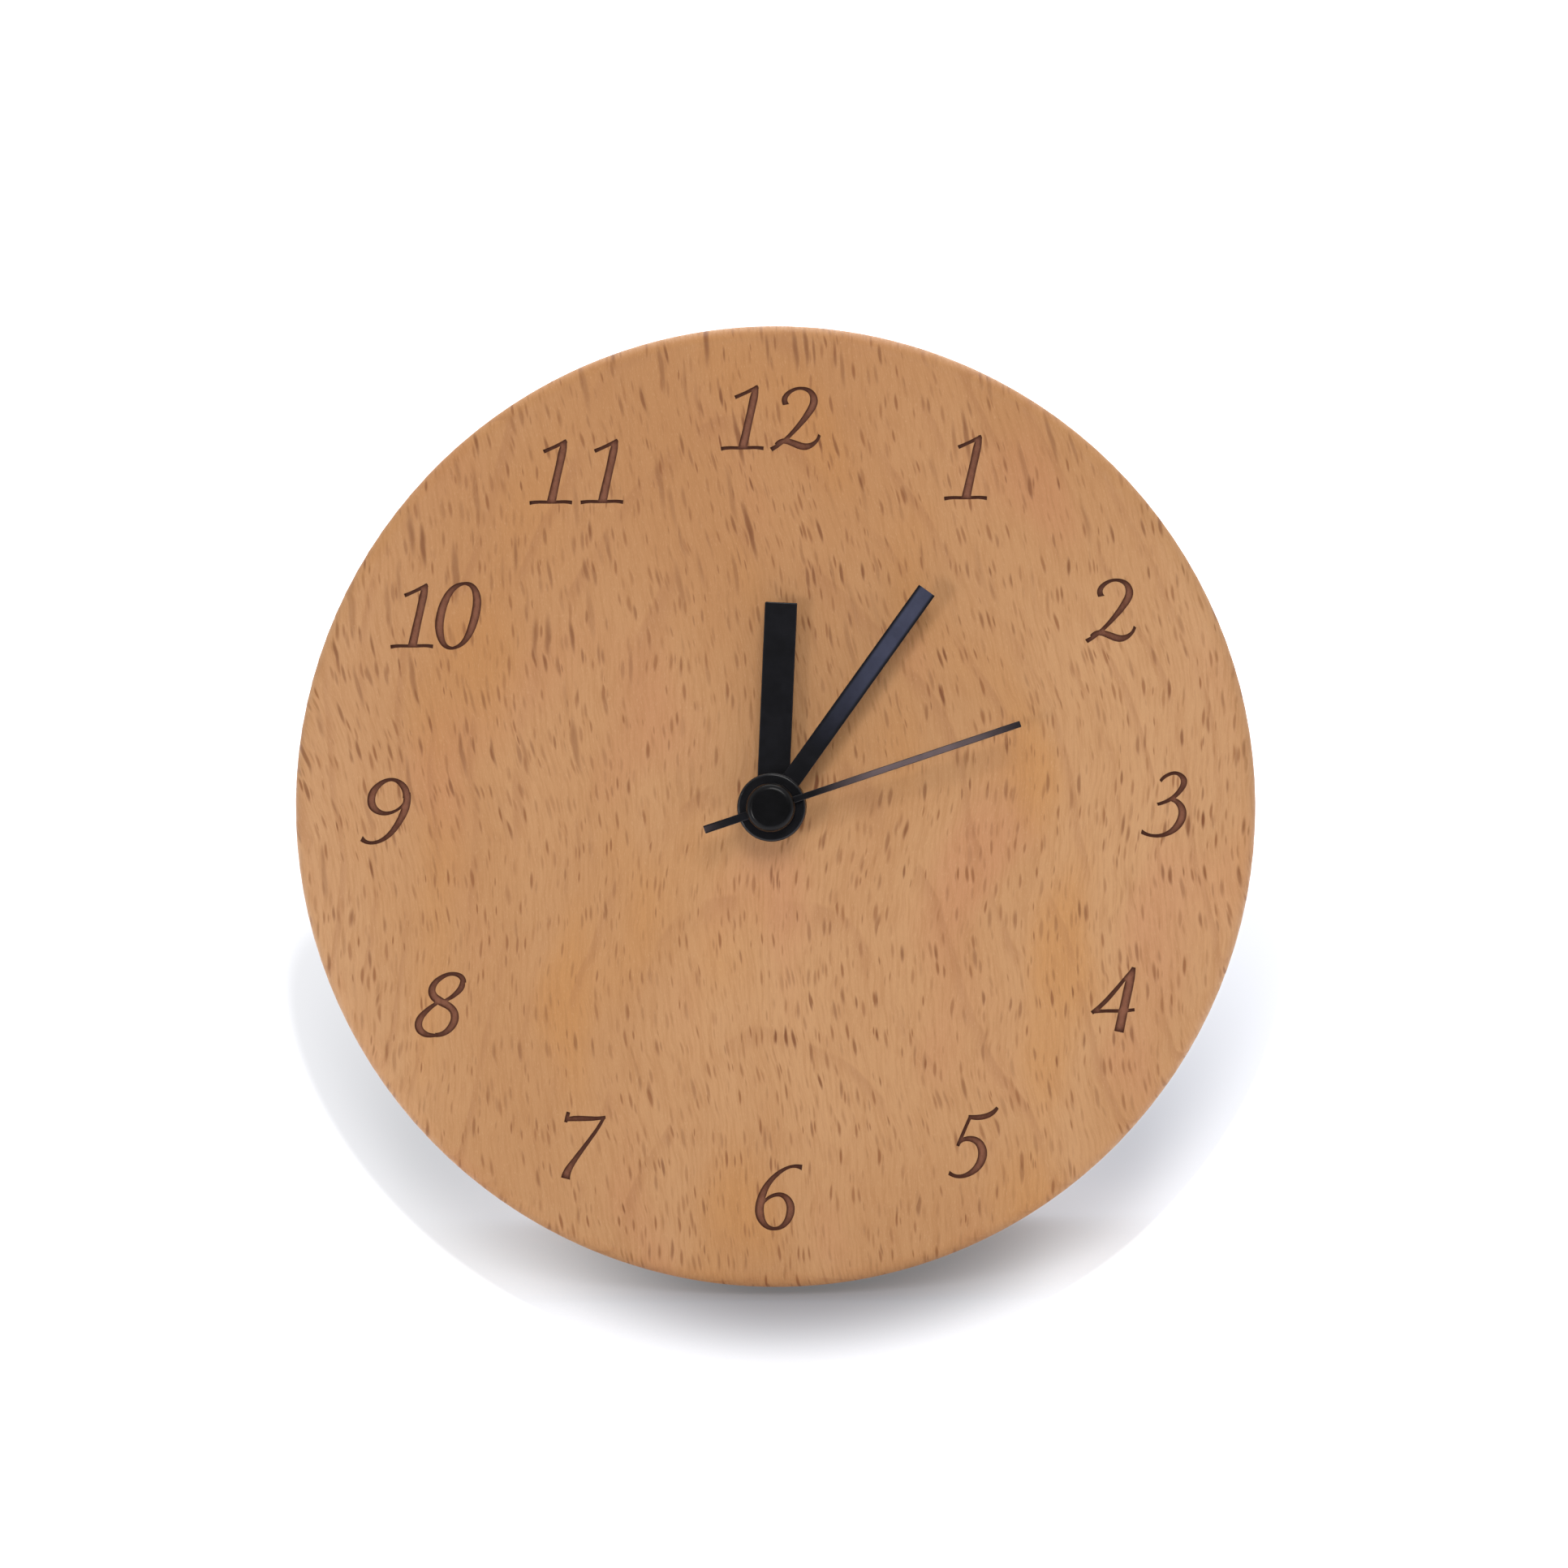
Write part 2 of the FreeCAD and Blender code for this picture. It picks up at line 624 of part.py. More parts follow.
def make_wood_body():
    """Turned bowl: face, tapered rim, rear well, shaft hole, and a flat foot to lean on."""
    body = new_body("wood_blank")
    shape_feature(body, "AdditiveCone", {
        "Radius1": rear_radius,
        "Radius2": size["face_radius"],
        "Height": size["body_depth"],
    }, ZERO, ZERO, -size["body_depth"])
    doc.recompute()
    round_edges(body, size["front_edge_radius"],
                lambda edge: is_ring(edge, size["face_radius"], ZERO))
    round_edges(body, size["rear_edge_radius"],
                lambda edge: is_ring(edge, rear_radius, -size["body_depth"]))
    cylinder(body, well_radius, -(size["body_depth"] + size["cut_overrun"]),
             -size["web_thickness"], cut=True)
    round_edges(body, size["well_edge_radius"],
                lambda edge: is_ring(edge, well_radius, -size["body_depth"]))
    cylinder(body, neck_hole, -(size["web_thickness"] + size["cut_overrun"]),
             size["cut_overrun"], cut=True)
    for sign in (-1, 1):
        cylinder(body, size["screw_shank_radius"] + size["press_gap"],
                 -(size["web_thickness"] + size["cut_overrun"]),
                 -(size["web_thickness"] - size["screw_grip"] - size["end_gap"]),
                 (sign * ear_x, ZERO), cut=True)
    foot = shape_feature(body, "SubtractiveBox", {
        "Length": 2 * size["face_radius"],
        "Width": facet_length + 2 * size["cut_overrun"],
        "Height": size["face_radius"],
    }, -size["face_radius"],
        -size["face_radius"] - size["cut_overrun"] * lean_sine
        - size["face_radius"] * lean_cosine,
        -size["front_edge_radius"] + size["cut_overrun"] * lean_cosine
        - size["face_radius"] * lean_sine)
    foot.Placement = Placement(foot.Placement.Base, Rotation(Vector(-1, 0, 0), 90))
    foot.setExpression("Placement.Rotation.Angle", f"90 - {size['lean_angle'].formula}")
    numerals = doc.addObject("Part::Feature", "numeral_cutter")
    numerals.Shape = numeral_cutter()
    engraved = doc.addObject("Part::Cut", "wood_body_engraved")
    engraved.Base = body
    engraved.Tool = numerals
    return seat(engraved, "wood_body")


def make_felt_base():
    """Felt under the foot: the foot's own outline, set in from its edges."""
    facet = doc.addObject("Part::Plane", "felt_plane")
    facet.setExpression("Length", (2 * size["face_radius"]).formula)
    facet.setExpression("Width", felt_end.formula)
    facet.Placement = Placement(Vector(), Rotation(Vector(-1, 0, 0), 90))
    facet.setExpression("Placement.Rotation.Angle", f"90 - {size['lean_angle'].formula}")
    facet.setExpression("Placement.Base.x", (-size["face_radius"]).formula)
    facet.setExpression("Placement.Base.y", (-size["face_radius"]).formula)
    facet.setExpression("Placement.Base.z", (-size["front_edge_radius"]).formula)
    cone = doc.addObject("Part::Cone", "felt_cone")
    cone.setExpression("Radius1", rear_radius.formula)
    cone.setExpression("Radius2", size["face_radius"].formula)
    cone.setExpression("Height", size["body_depth"].formula)
    cone.setExpression("Placement.Base.y", (size["felt_inset"] * lean_sine).formula)
    cone.setExpression("Placement.Base.z",
                       (-size["body_depth"] - size["felt_inset"] * lean_cosine).formula)
    outline = doc.addObject("Part::Common", "felt_outline")
    outline.Base = facet
    outline.Tool = cone
    sheet = doc.addObject("Part::Extrusion", "felt_sheet")
    sheet.Base = outline
    sheet.DirMode = "Custom"
    sheet.Dir = Vector(0, -lean_cosine.number, -lean_sine.number)
    sheet.setExpression("LengthFwd", size["felt_thickness"].formula)
    sheet.Solid = True
    return seat(sheet, "felt_base")


# The movement's case and plates.

def make_foam_gasket():
    body = new_body("foam_gasket")
    cylinder(body, size["gasket_radius"], -case_front_depth, -size["web_thickness"])
    cylinder(body, neck_hole, -case_front_depth, -size["web_thickness"], cut=True)
    return seat(body, "foam_gasket")


def make_case_front():
    """Front shell: wall, four sides, threaded-neck tube, two screwed ears and posts."""
    body = new_body("case_front")
    across = (-case_half, case_half)
    inside = (-inner_half, inner_half)
    block(body, across, across, (-case_back_depth, -case_front_depth))
    block(body, inside, inside, (-(case_back_depth + size["cut_overrun"]), -front_wall_back),
          cut=True)
    cylinder(body, size["neck_radius"], -front_wall_back, -size["neck_recess"])
    ear_back = case_front_depth + size["ear_thickness"]
    for sign in (-1, 1):
        near, far = sorted((sign * inner_half, sign * (ear_x + size["ear_margin"])), key=float)
        if sign > 0:
            near = near + size["fit_gap"]
        else:
            far = far - size["fit_gap"]
        block(body, (near, far), (-size["ear_margin"], size["ear_margin"]),
              (-ear_back, -case_front_depth))
        cylinder(body, size["ear_foot_radius"], -ear_back, -size["web_thickness"],
                 (sign * ear_x, ZERO))
        cylinder(body, size["screw_shank_radius"] + size["fit_gap"],
                 -(ear_back + size["cut_overrun"]), ZERO, (sign * ear_x, ZERO), cut=True)
    for place in post_places:
        cylinder(body, size["post_radius"], -plate_front, -front_wall_back, place)
    cylinder(body, size["stud_radius"], -plate_front, -front_wall_back, minute_wheel_axis)
    cylinder(body, size["boss_radius"], -hour_level, -front_wall_back, knob_axis)
    cylinder(body, size["knob_shaft_radius"] + size["run_gap"], -(hour_level + size["end_gap"]),
             -front_wall_back, knob_axis, cut=True)
    cylinder(body, neck_bore, -(front_wall_back + size["cut_overrun"]), size["cut_overrun"],
             cut=True)
    return seat(body, "case_front")


def make_case_back():
    """Rear cover with the open battery tray, the arbors' bearings and its own posts."""
    body = new_body("case_back")
    fit_half = inner_half - size["fit_gap"]
    across = (-fit_half, fit_half)
    block(body, across, across, (-case_back_depth, -rear_wall_front))
    block(body, across, (tray_bottom, tray_top), (-rear_wall_front, -tray_front))
    pocket_y = (tray_bottom + size["tray_wall"], tray_top - size["tray_wall"])
    block(body, (-tray_half_length, tray_half_length), pocket_y,
          (-(case_back_depth + size["cut_overrun"]), -(tray_front + size["tray_wall"])),
          cut=True)
    for place in post_places:
        cylinder(body, size["post_radius"], -rear_wall_front, -plate_back, place)
    board_back = rear_wall_front - size["board_standoff"]
    for place in board_posts:
        cylinder(body, size["board_post_radius"], -rear_wall_front, -board_back, place)
    pivots = [
        (centre_axis, size["seconds_arbor_radius"]),
        (third_axis, size["arbor_radius"]),
        (intermediate_axis, size["arbor_radius"]),
        (rotor_axis, size["arbor_radius"]),
    ]
    for axis, radius in pivots:
        cylinder(body, size["boss_radius"], -rear_wall_front, -boss_front, axis)
        cylinder(body, radius + size["run_gap"], -rear_wall_front, -boss_front, axis, cut=True)
    cylinder(body, size["knob_shaft_radius"] + size["run_gap"],
             -(case_back_depth + size["cut_overrun"]), -boss_front, knob_axis, cut=True)
    return seat(body, "case_back")


def make_gear_plate():
    """Plate between the motion work in front and the train behind, with its bearings."""
    body = new_body("gear_plate")
    fit_half = inner_half - size["fit_gap"]
    depths = (-plate_back, -plate_front)
    block(body, (-fit_half, fit_half), (tray_top + size["end_gap"], fit_half), depths)
    holes = [
        (centre_axis, size["cannon_radius"]),
        (third_axis, size["arbor_radius"]),
        (intermediate_axis, size["arbor_radius"]),
        (rotor_axis, size["arbor_radius"]),
        (knob_axis, size["knob_shaft_radius"]),
    ]
    for axis, radius in holes:
        cylinder(body, radius + size["run_gap"], -plate_back - size["cut_overrun"],
                 -plate_front + size["cut_overrun"], axis, cut=True)
    for place in leg_places:
        cylinder(body, size["stator_leg_width"] / 2, -stator_front, -plate_back, place)
    return seat(body, "gear_plate")


def make_mounting_screws():
    """Two pan-head wood screws through the case's ears into the web."""
    ear_back = case_front_depth + size["ear_thickness"]
    head_back = ear_back + size["screw_head_height"]
    shank = rod(size["screw_shank_radius"].number, -ear_back.number,
                -(size["web_thickness"] - size["screw_grip"]).number)
    head = rod(size["screw_head_radius"].number, -head_back.number, -ear_back.number)
    rim = [edge for edge in head.Edges
           if is_ring(edge, size["screw_head_radius"], -head_back)]
    head = head.makeFillet(size["screw_edge_radius"].number, rim)
    screw = head.fuse(shank).removeSplitter()
    half_slot = size["screw_slot_width"].number / 2
    reach = size["screw_head_radius"].number * SLOT_REACH_SHARE
    depth = size["screw_slot_depth"].number
    for half_x, half_y in ((half_slot, reach), (reach, half_slot)):
        slot = Part.makeBox(2 * half_x, 2 * half_y, depth,
                            Vector(-half_x, -half_y, -head_back.number))
        screw = screw.cut(slot)
    screws = []
    for sign in (-1, 1):
        copy = screw.copy()
        copy.translate(Vector(sign * ear_x.number, 0, 0))
        screws.append(copy)
    piece = doc.addObject("Part::Feature", "mounting_screws_solids")
    piece.Shape = Part.makeCompound(screws)
    return seat(piece, "mounting_screws")


# The electric side: stator, coil, board, contacts and battery.

stator_front = plate_back + size["stator_standoff"]
stator_back = stator_front + size["stator_thickness"]
core_back = stator_back + size["core_thickness"]
coil_depth = (stator_back + core_back) / 2
coil_y = rotor_axis[1] + size["coil_offset"]
leg_places = [(rotor_axis[0] + sign * size["coil_spread"], coil_y) for sign in (-1, 1)]
bobbin_half = size["coil_spread"] - size["stator_leg_width"] / 2 - size["end_gap"]
board_right = -post_x + size["post_radius"] + size["board_corner_gap"] + size["board_width"]
board_left = board_right - size["board_width"]
board_top = upper_post_y + size["post_radius"]
board_bottom = board_top - size["board_height"]
board_inset = size["board_post_radius"] * 2
board_posts = [(board_left + board_inset, board_top - board_inset),
               (board_right - board_inset, board_bottom + board_inset)]


def make_stator():
    """Iron plate around the rotor, with two legs that carry the coil's core."""
    body = new_body("stator")
    depths = (-stator_back, -stator_front)
    hole = size["magnet_radius"] + size["air_gap"]
    half_leg = size["stator_leg_width"] / 2
    cylinder(body, hole + size["stator_ring_width"], -stator_back, -stator_front, rotor_axis)
    left, right = leg_places[0][0], leg_places[1][0]
    block(body, (left - half_leg, right + half_leg),
          (rotor_axis[1] - half_leg, rotor_axis[1] + half_leg), depths)
    for x, y in leg_places:
        block(body, (x - half_leg, x + half_leg), (rotor_axis[1] - half_leg, y + half_leg),
              depths)
    cylinder(body, hole, -stator_back, -stator_front, rotor_axis, cut=True)
    return seat(body, "stator")


def make_coil_core():
    body = new_body("coil_core")
    half = size["core_width"] / 2
    half_leg = size["stator_leg_width"] / 2
    block(body, (leg_places[0][0] - half_leg, leg_places[1][0] + half_leg),
          (coil_y - half, coil_y + half), (-core_back, -stator_back))
    return seat(body, "coil_core")


def make_coil_bobbin():
    """Square-flanged bobbin around the core."""
    body = new_body("coil_bobbin")
    left, right = rotor_axis[0] - bobbin_half, rotor_axis[0] + bobbin_half
    half_flange = size["bobbin_flange"] / 2
    half_core = size["core_width"] / 2 + size["press_gap"]
    half_depth = size["core_thickness"] / 2 + size["press_gap"]
    wall = size["bobbin_wall"]
    block(body, (left, right), (coil_y - half_core - wall, coil_y + half_core + wall),
          (-coil_depth - half_depth - wall, -coil_depth + half_depth + wall))
    for near, far in ((left, left + wall), (right - wall, right)):
        block(body, (near, far), (coil_y - half_flange, coil_y + half_flange),
              (-coil_depth - half_flange, -coil_depth + half_flange))
    block(body, (left - size["cut_overrun"], right + size["cut_overrun"]),
          (coil_y - half_core, coil_y + half_core),
          (-coil_depth - half_depth, -coil_depth + half_depth), cut=True)
    return seat(body, "coil_bobbin")


def make_coil_winding():
    """The fine copper winding, as one round block between the bobbin's flanges."""
    body = new_body("coil_winding")
    gap = size["press_gap"]
    wall = size["bobbin_wall"] + gap
    left = rotor_axis[0] - bobbin_half + wall
    right = rotor_axis[0] + bobbin_half - wall
    half_core = size["core_width"] / 2 + gap + wall
    half_depth = size["core_thickness"] / 2 + gap + wall
    bar(body, size["winding_radius"], left, right, coil_y, -coil_depth)
    block(body, (left - size["cut_overrun"], right + size["cut_overrun"]),
          (coil_y - half_core, coil_y + half_core),
          (-coil_depth - half_depth, -coil_depth + half_depth), cut=True)
    return seat(body, "coil_winding")


def make_circuit_board():
    body = new_body("circuit_board")
    back = rear_wall_front - size["board_standoff"]
    block(body, (board_left, board_right), (board_bottom, board_top),
          (-back, -(back - size["board_thickness"])))
    return seat(body, "circuit_board")


def make_board_components():
    """The quartz crystal's can and the driver chip, on the board's front."""
    front = rear_wall_front - size["board_standoff"] - size["board_thickness"]
    crystal = new_body("quartz_crystal")
    bar(crystal, size["crystal_radius"], board_left + board_inset,
        board_left + board_inset + size["crystal_length"],
        board_bottom + board_inset, -(front - size["crystal_radius"] - size["press_gap"]))
    seat(crystal, "quartz_crystal")
    chip = new_body("driver_chip")
    half = size["chip_side"] / 2
    x = (board_left + board_right) / 2
    y = board_top - board_inset - half
    block(chip, (x - half, x + half), (y - half, y + half),
          (-front, -(front - size["chip_height"])))
    seat(chip, "driver_chip")


def make_contacts():
    """A flat contact at the cell's positive end and a bumped one at its other end."""
    half = size["contact_width"] / 2
    back = battery_depth - size["contact_length"] / 2
    depths = (-(back + size["contact_length"]), -back)
    positive = new_body("contact_positive")
    block(positive, (tray_half_length - size["contact_thickness"], tray_half_length),
          (battery_y - half, battery_y + half), depths)
    seat(positive, "contact_positive")
    negative = new_body("contact_negative")
    plate_end = -tray_half_length + size["contact_thickness"]
    block(negative, (-tray_half_length, plate_end), (battery_y - half, battery_y + half),
          depths)
    bar(negative, size["contact_bump_radius"], -tray_half_length,
        plate_end + size["contact_thickness"], battery_y, -battery_depth)
    seat(negative, "contact_negative")


def make_battery():
    """AA cell that lies across the tray, its positive end to the right."""
    body = new_body("battery")
    half = size["battery_length"] / 2
    can_end = half - size["battery_nub_length"]
    bar(body, size["battery_radius"], -half, can_end, battery_y, -battery_depth)
    round_edges(body, size["battery_edge_radius"],
                lambda edge: isinstance(edge.Curve, Part.Circle))
    bar(body, size["battery_nub_radius"], can_end - size["battery_edge_radius"], half,
        battery_y, -battery_depth)
    return seat(body, "battery")


# The wheels, from the rotor to the hour wheel.

def make_train():
    """Rotor, intermediate, seconds, third and centre wheels with their arbors."""
    overhang = size["pinion_overhang"]
    thickness = size["wheel_thickness"]
    half_turn = math.pi
    third_way = math.radians(size["third_angle"].number)
    middle_way = math.radians(size["intermediate_angle"].number)
    rotor_way = math.radians(size["rotor_angle"].number)

    hub = size["hub_radius"].number
    arbor = rod(size["arbor_radius"].number, -arbor_back.number, -plate_front.number)
    magnet_middle = (stator_front + stator_back) / 2
    magnet_front = magnet_middle - size["magnet_height"] / 2
    magnet_back = magnet_middle + size["magnet_height"] / 2

    pinion_tooth = 0.0
    turning_piece("rotor_pinion", rotor_axis, [
        toothed("rotor_pinion", size["rotor_module"], intermediate_level - overhang,
                intermediate_level + thickness + overhang, pinion_tooth),
        arbor.copy(),
    ])
    magnet = rod(size["magnet_radius"].number, -magnet_back.number, -magnet_front.number)
    turning_piece("rotor_magnet", rotor_axis, [magnet],
                  size["arbor_radius"] + size["press_gap"])

    wheel_tooth = meshing_tooth(pinion_tooth, TOOTH_COUNTS["rotor_pinion"],
                                TOOTH_COUNTS["intermediate_wheel"], rotor_way + half_turn)
    turning_piece("intermediate_wheel", intermediate_axis, [
        toothed("intermediate_wheel", size["rotor_module"], intermediate_level,
                intermediate_level + thickness, wheel_tooth),
        toothed("intermediate_pinion", size["train_module"], seconds_level - overhang,
                intermediate_level, middle_way + half_turn),
        arbor.copy(),
    ])

    wheel_tooth = meshing_tooth(middle_way + half_turn, TOOTH_COUNTS["intermediate_pinion"],
                                TOOTH_COUNTS["seconds_wheel"], middle_way + half_turn)
    turning_piece("seconds_wheel", centre_axis, [
        toothed("seconds_wheel", size["train_module"], seconds_level,
                seconds_level + thickness, wheel_tooth),
        toothed("seconds_pinion", size["train_module"], third_level - overhang,
                seconds_level, third_way),
        rod(hub, -(seconds_level + thickness + overhang).number, -seconds_level.number),
    ], size["seconds_arbor_radius"] + size["press_gap"])
    turning_piece("seconds_arbor", centre_axis, [
        rod(size["seconds_arbor_radius"].number, -arbor_back.number, arbor_tip.number),
    ])

    wheel_tooth = meshing_tooth(third_way, TOOTH_COUNTS["seconds_pinion"], TOOTH_COUNTS["third_wheel"],
                                third_way)
    turning_piece("third_wheel", third_axis, [
        toothed("third_wheel", size["train_module"], third_level, third_level + thickness,
                wheel_tooth),
        toothed("third_pinion", centre_module, centre_level - overhang, third_level,
                third_way + half_turn),
        arbor.copy(),
    ])

    wheel_tooth = meshing_tooth(third_way + half_turn, TOOTH_COUNTS["third_pinion"],
                                TOOTH_COUNTS["centre_wheel"], third_way + half_turn)
    turning_piece("centre_wheel", centre_axis, [
        toothed("centre_wheel", centre_module, centre_level, centre_level + thickness,
                wheel_tooth),
        rod(hub * 2, -centre_level.number, -(centre_level - overhang).number),
    ], size["cannon_radius"] + size["run_gap"])


def make_motion_work():
    """Cannon pinion, minute wheel and hour wheel, which turn the hands together."""
    overhang = size["pinion_overhang"]
    thickness = size["wheel_thickness"]
    wheel_way = math.radians(size["minute_wheel_angle"].number)
    knob_way = math.radians(size["knob_angle"].number)
    cannon_back = centre_level + thickness + overhang

    turning_piece("cannon_pinion", centre_axis, [
        rod(size["cannon_radius"].number, -cannon_back.number, minute_boss_top.number),
        toothed("cannon_pinion", size["motion_module"], minute_level - overhang,
                minute_level + thickness + overhang, wheel_way),
    ], cannon_bore)

    wheel_tooth = meshing_tooth(wheel_way, TOOTH_COUNTS["cannon_pinion"], TOOTH_COUNTS["minute_wheel"],
                                wheel_way)
    turning_piece("minute_wheel", minute_wheel_axis, [
        toothed("minute_wheel", size["motion_module"], minute_level,
                minute_level + thickness, wheel_tooth),
        toothed("minute_pinion", hour_module, hour_level - overhang, minute_level,
                wheel_way + math.pi),
    ], size["stud_radius"] + size["run_gap"])

    hour_tooth = meshing_tooth(wheel_way + math.pi, TOOTH_COUNTS["minute_pinion"],
                               TOOTH_COUNTS["hour_wheel"], wheel_way + math.pi)
    turning_piece("hour_wheel", centre_axis, [
        toothed("hour_wheel", hour_module, hour_level, hour_level + thickness, hour_tooth),
        rod(size["pipe_radius"].number, -hour_level.number, hour_hand_top.number),
    ], pipe_bore)

    knob_tooth = meshing_tooth(wheel_tooth, TOOTH_COUNTS["minute_wheel"], TOOTH_COUNTS["knob_pinion"],
                               knob_way)
    turning_piece("knob_pinion", knob_axis, [
        toothed("knob_pinion", size["motion_module"], minute_level - overhang,
                minute_level + thickness + overhang, knob_tooth),
    ], size["knob_shaft_radius"] + size["press_gap"])


def make_setting_knob():
    """Fluted knob behind the case, with the shaft that carries its pinion."""
    flutes = TOOTH_COUNTS["knob_flutes"]
    outer = size["knob_radius"].number
    pitch = 2 * math.pi / flutes
    points = []
    for flute in range(2 * flutes):
        radius = outer - (flute % 2) * size["knob_flute_depth"].number
        angle = flute * pitch / 2
        points.append(Vector(radius * math.cos(angle), radius * math.sin(angle), 0))
    knob_front = (case_back_depth + size["knob_standoff"]).number
    knob_back = knob_front + size["knob_thickness"].number
    turning_piece("setting_knob", knob_axis, [
        prism(points, -knob_back, -knob_front),
        rod(size["knob_shaft_radius"].number, -knob_front,
            -(front_wall_back + size["fit_gap"]).number),
    ])


# The hands.

arbor_tip = second_hand_top + size["cap_socket_depth"] / 2


def blade(body, width, start, end, bottom, top):
    """A straight flat blade along the hand, pointing to twelve."""
    block(body, (-width / 2, width / 2), (start, end), (bottom, top))


def make_hour_hand():
    body = new_body("hour_hand")
    blade(body, size["hour_hand_width"], ZERO, size["hour_hand_length"],
          size["hour_hand_height"], hour_hand_top)
    cylinder(body, size["hour_collar_radius"], hour_hand_top - size["hour_collar_height"],
             hour_hand_top)
    cylinder(body, size["pipe_radius"] + size["press_gap"],
             hour_hand_top - size["hour_collar_height"], hour_hand_top + size["cut_overrun"],
             cut=True)
    return seat(body, "hour_hand", HAND_ANGLES["hour"])


def make_minute_hand():
    body = new_body("minute_hand")
    cylinder(body, size["minute_boss_radius"], minute_boss_bottom, minute_boss_top)
    round_edges(body, size["hand_edge_radius"],
                lambda edge: is_ring(edge, size["minute_boss_radius"], minute_boss_top))
    blade(body, size["minute_hand_width"], ZERO, size["minute_hand_length"],
          minute_hand_height, minute_hand_top)
    cylinder(body, size["cannon_radius"] + size["press_gap"], minute_boss_bottom,
             minute_boss_top + size["cut_overrun"], cut=True)
    return seat(body, "minute_hand", HAND_ANGLES["minute"])


def make_second_hand():
    body = new_body("second_hand")
    bush_bottom = second_hand_height - size["second_bush_height"]
    blade(body, size["second_hand_width"], ZERO, size["second_hand_length"],
          second_hand_height, second_hand_top)
    blade(body, size["second_tail_width"], -size["second_tail_length"], ZERO,
          second_hand_height, second_hand_top)
    cylinder(body, size["second_bush_radius"], bush_bottom, second_hand_top)
    cylinder(body, size["seconds_arbor_radius"] + size["press_gap"],
             bush_bottom, second_hand_top + size["cut_overrun"], cut=True)
    return seat(body, "second_hand", HAND_ANGLES["second"])


def make_second_cap():
    """Domed cap over the second hand's middle, pushed on the arbor's tip."""
    body = new_body("second_cap")
    top = second_hand_top + size["cap_height"]
    cylinder(body, size["cap_radius"], second_hand_top, top)
    round_edges(body, size["cap_edge_radius"],
                lambda edge: is_ring(edge, size["cap_radius"], top))
    cylinder(body, size["seconds_arbor_radius"] + size["press_gap"], second_hand_top,
             second_hand_top + size["cap_socket_depth"], cut=True)
    return seat(body, "second_cap", HAND_ANGLES["second"])


def check_and_write():
    """Check every object of the document, then write one file per sub-part."""
    for thing in doc.Objects:
        if "Invalid" in thing.State or "Error" in thing.State:
            raise RuntimeError(f"{thing.Name} failed: {thing.State}")
    for piece in sub_parts:
        if piece.Shape.isNull() or not piece.Shape.isValid():
            raise RuntimeError(f"{piece.Label} has no valid shape")
    os.makedirs("parts", exist_ok=True)
    for piece in sub_parts:
        piece.Shape.exportStep(f"parts/{piece.Label}.step")
        print(f"{piece.Label}: {len(piece.Shape.Solids)} solid(s), "
              f"{piece.Shape.Volume:.2f} cubic millimetres")


make_wood_body()
make_felt_base()
make_foam_gasket()
make_case_front()
make_case_back()
make_gear_plate()
make_mounting_screws()
make_stator()
make_coil_core()
make_coil_bobbin()
make_coil_winding()
make_circuit_board()
make_board_components()
make_contacts()
make_battery()
make_train()
make_motion_work()
make_setting_knob()
make_hour_hand()
make_minute_hand()
make_second_hand()
make_second_cap()
doc.recompute()
check_and_write()
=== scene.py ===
import json
import math

import bmesh
import bpy
from mathutils import Matrix, Vector

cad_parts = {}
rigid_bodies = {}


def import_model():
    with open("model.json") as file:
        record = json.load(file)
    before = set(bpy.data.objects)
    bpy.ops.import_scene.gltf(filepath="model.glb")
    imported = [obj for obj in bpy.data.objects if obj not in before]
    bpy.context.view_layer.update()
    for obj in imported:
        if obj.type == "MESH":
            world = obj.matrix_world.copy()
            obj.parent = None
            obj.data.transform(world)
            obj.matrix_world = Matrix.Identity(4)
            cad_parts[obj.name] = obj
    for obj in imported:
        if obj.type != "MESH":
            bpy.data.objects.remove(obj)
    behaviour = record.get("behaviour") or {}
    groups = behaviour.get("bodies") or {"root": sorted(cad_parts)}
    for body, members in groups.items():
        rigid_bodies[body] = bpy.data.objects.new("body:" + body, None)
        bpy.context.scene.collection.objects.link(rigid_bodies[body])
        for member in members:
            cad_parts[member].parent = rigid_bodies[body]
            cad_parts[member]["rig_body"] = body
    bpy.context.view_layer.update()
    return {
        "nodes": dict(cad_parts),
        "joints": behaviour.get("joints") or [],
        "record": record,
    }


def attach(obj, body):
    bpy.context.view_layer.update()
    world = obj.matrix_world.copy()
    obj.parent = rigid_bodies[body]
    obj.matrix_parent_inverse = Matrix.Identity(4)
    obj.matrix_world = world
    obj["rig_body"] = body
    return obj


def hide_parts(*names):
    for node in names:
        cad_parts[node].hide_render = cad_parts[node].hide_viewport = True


# Looks of the wooden desk clock. Everything stands in the frame of the packed
# model, in metres: the desk is at zero height and the dial looks towards -Y.

MM = 0.001

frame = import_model()
nodes = frame["nodes"]
slot_of = {part["node"]: part["material_slot"] for part in frame["record"]["subparts"]}

# The dial's own frame: its centre on the face, its right, its up and its normal.
spindle = next(joint for joint in frame["joints"] if joint["name"] == "second_turn")
DIAL_CENTRE = Vector(spindle["pos_m"])
DIAL_NORMAL = -Vector(spindle["axis"]).normalized()
DIAL_RIGHT = Vector((1, 0, 0))
DIAL_UP = DIAL_NORMAL.cross(DIAL_RIGHT)
DIAL_FRAME = Matrix((DIAL_RIGHT, DIAL_UP, DIAL_NORMAL)).transposed().to_4x4()
DIAL_FRAME.translation = DIAL_CENTRE


# Ways to build a material.

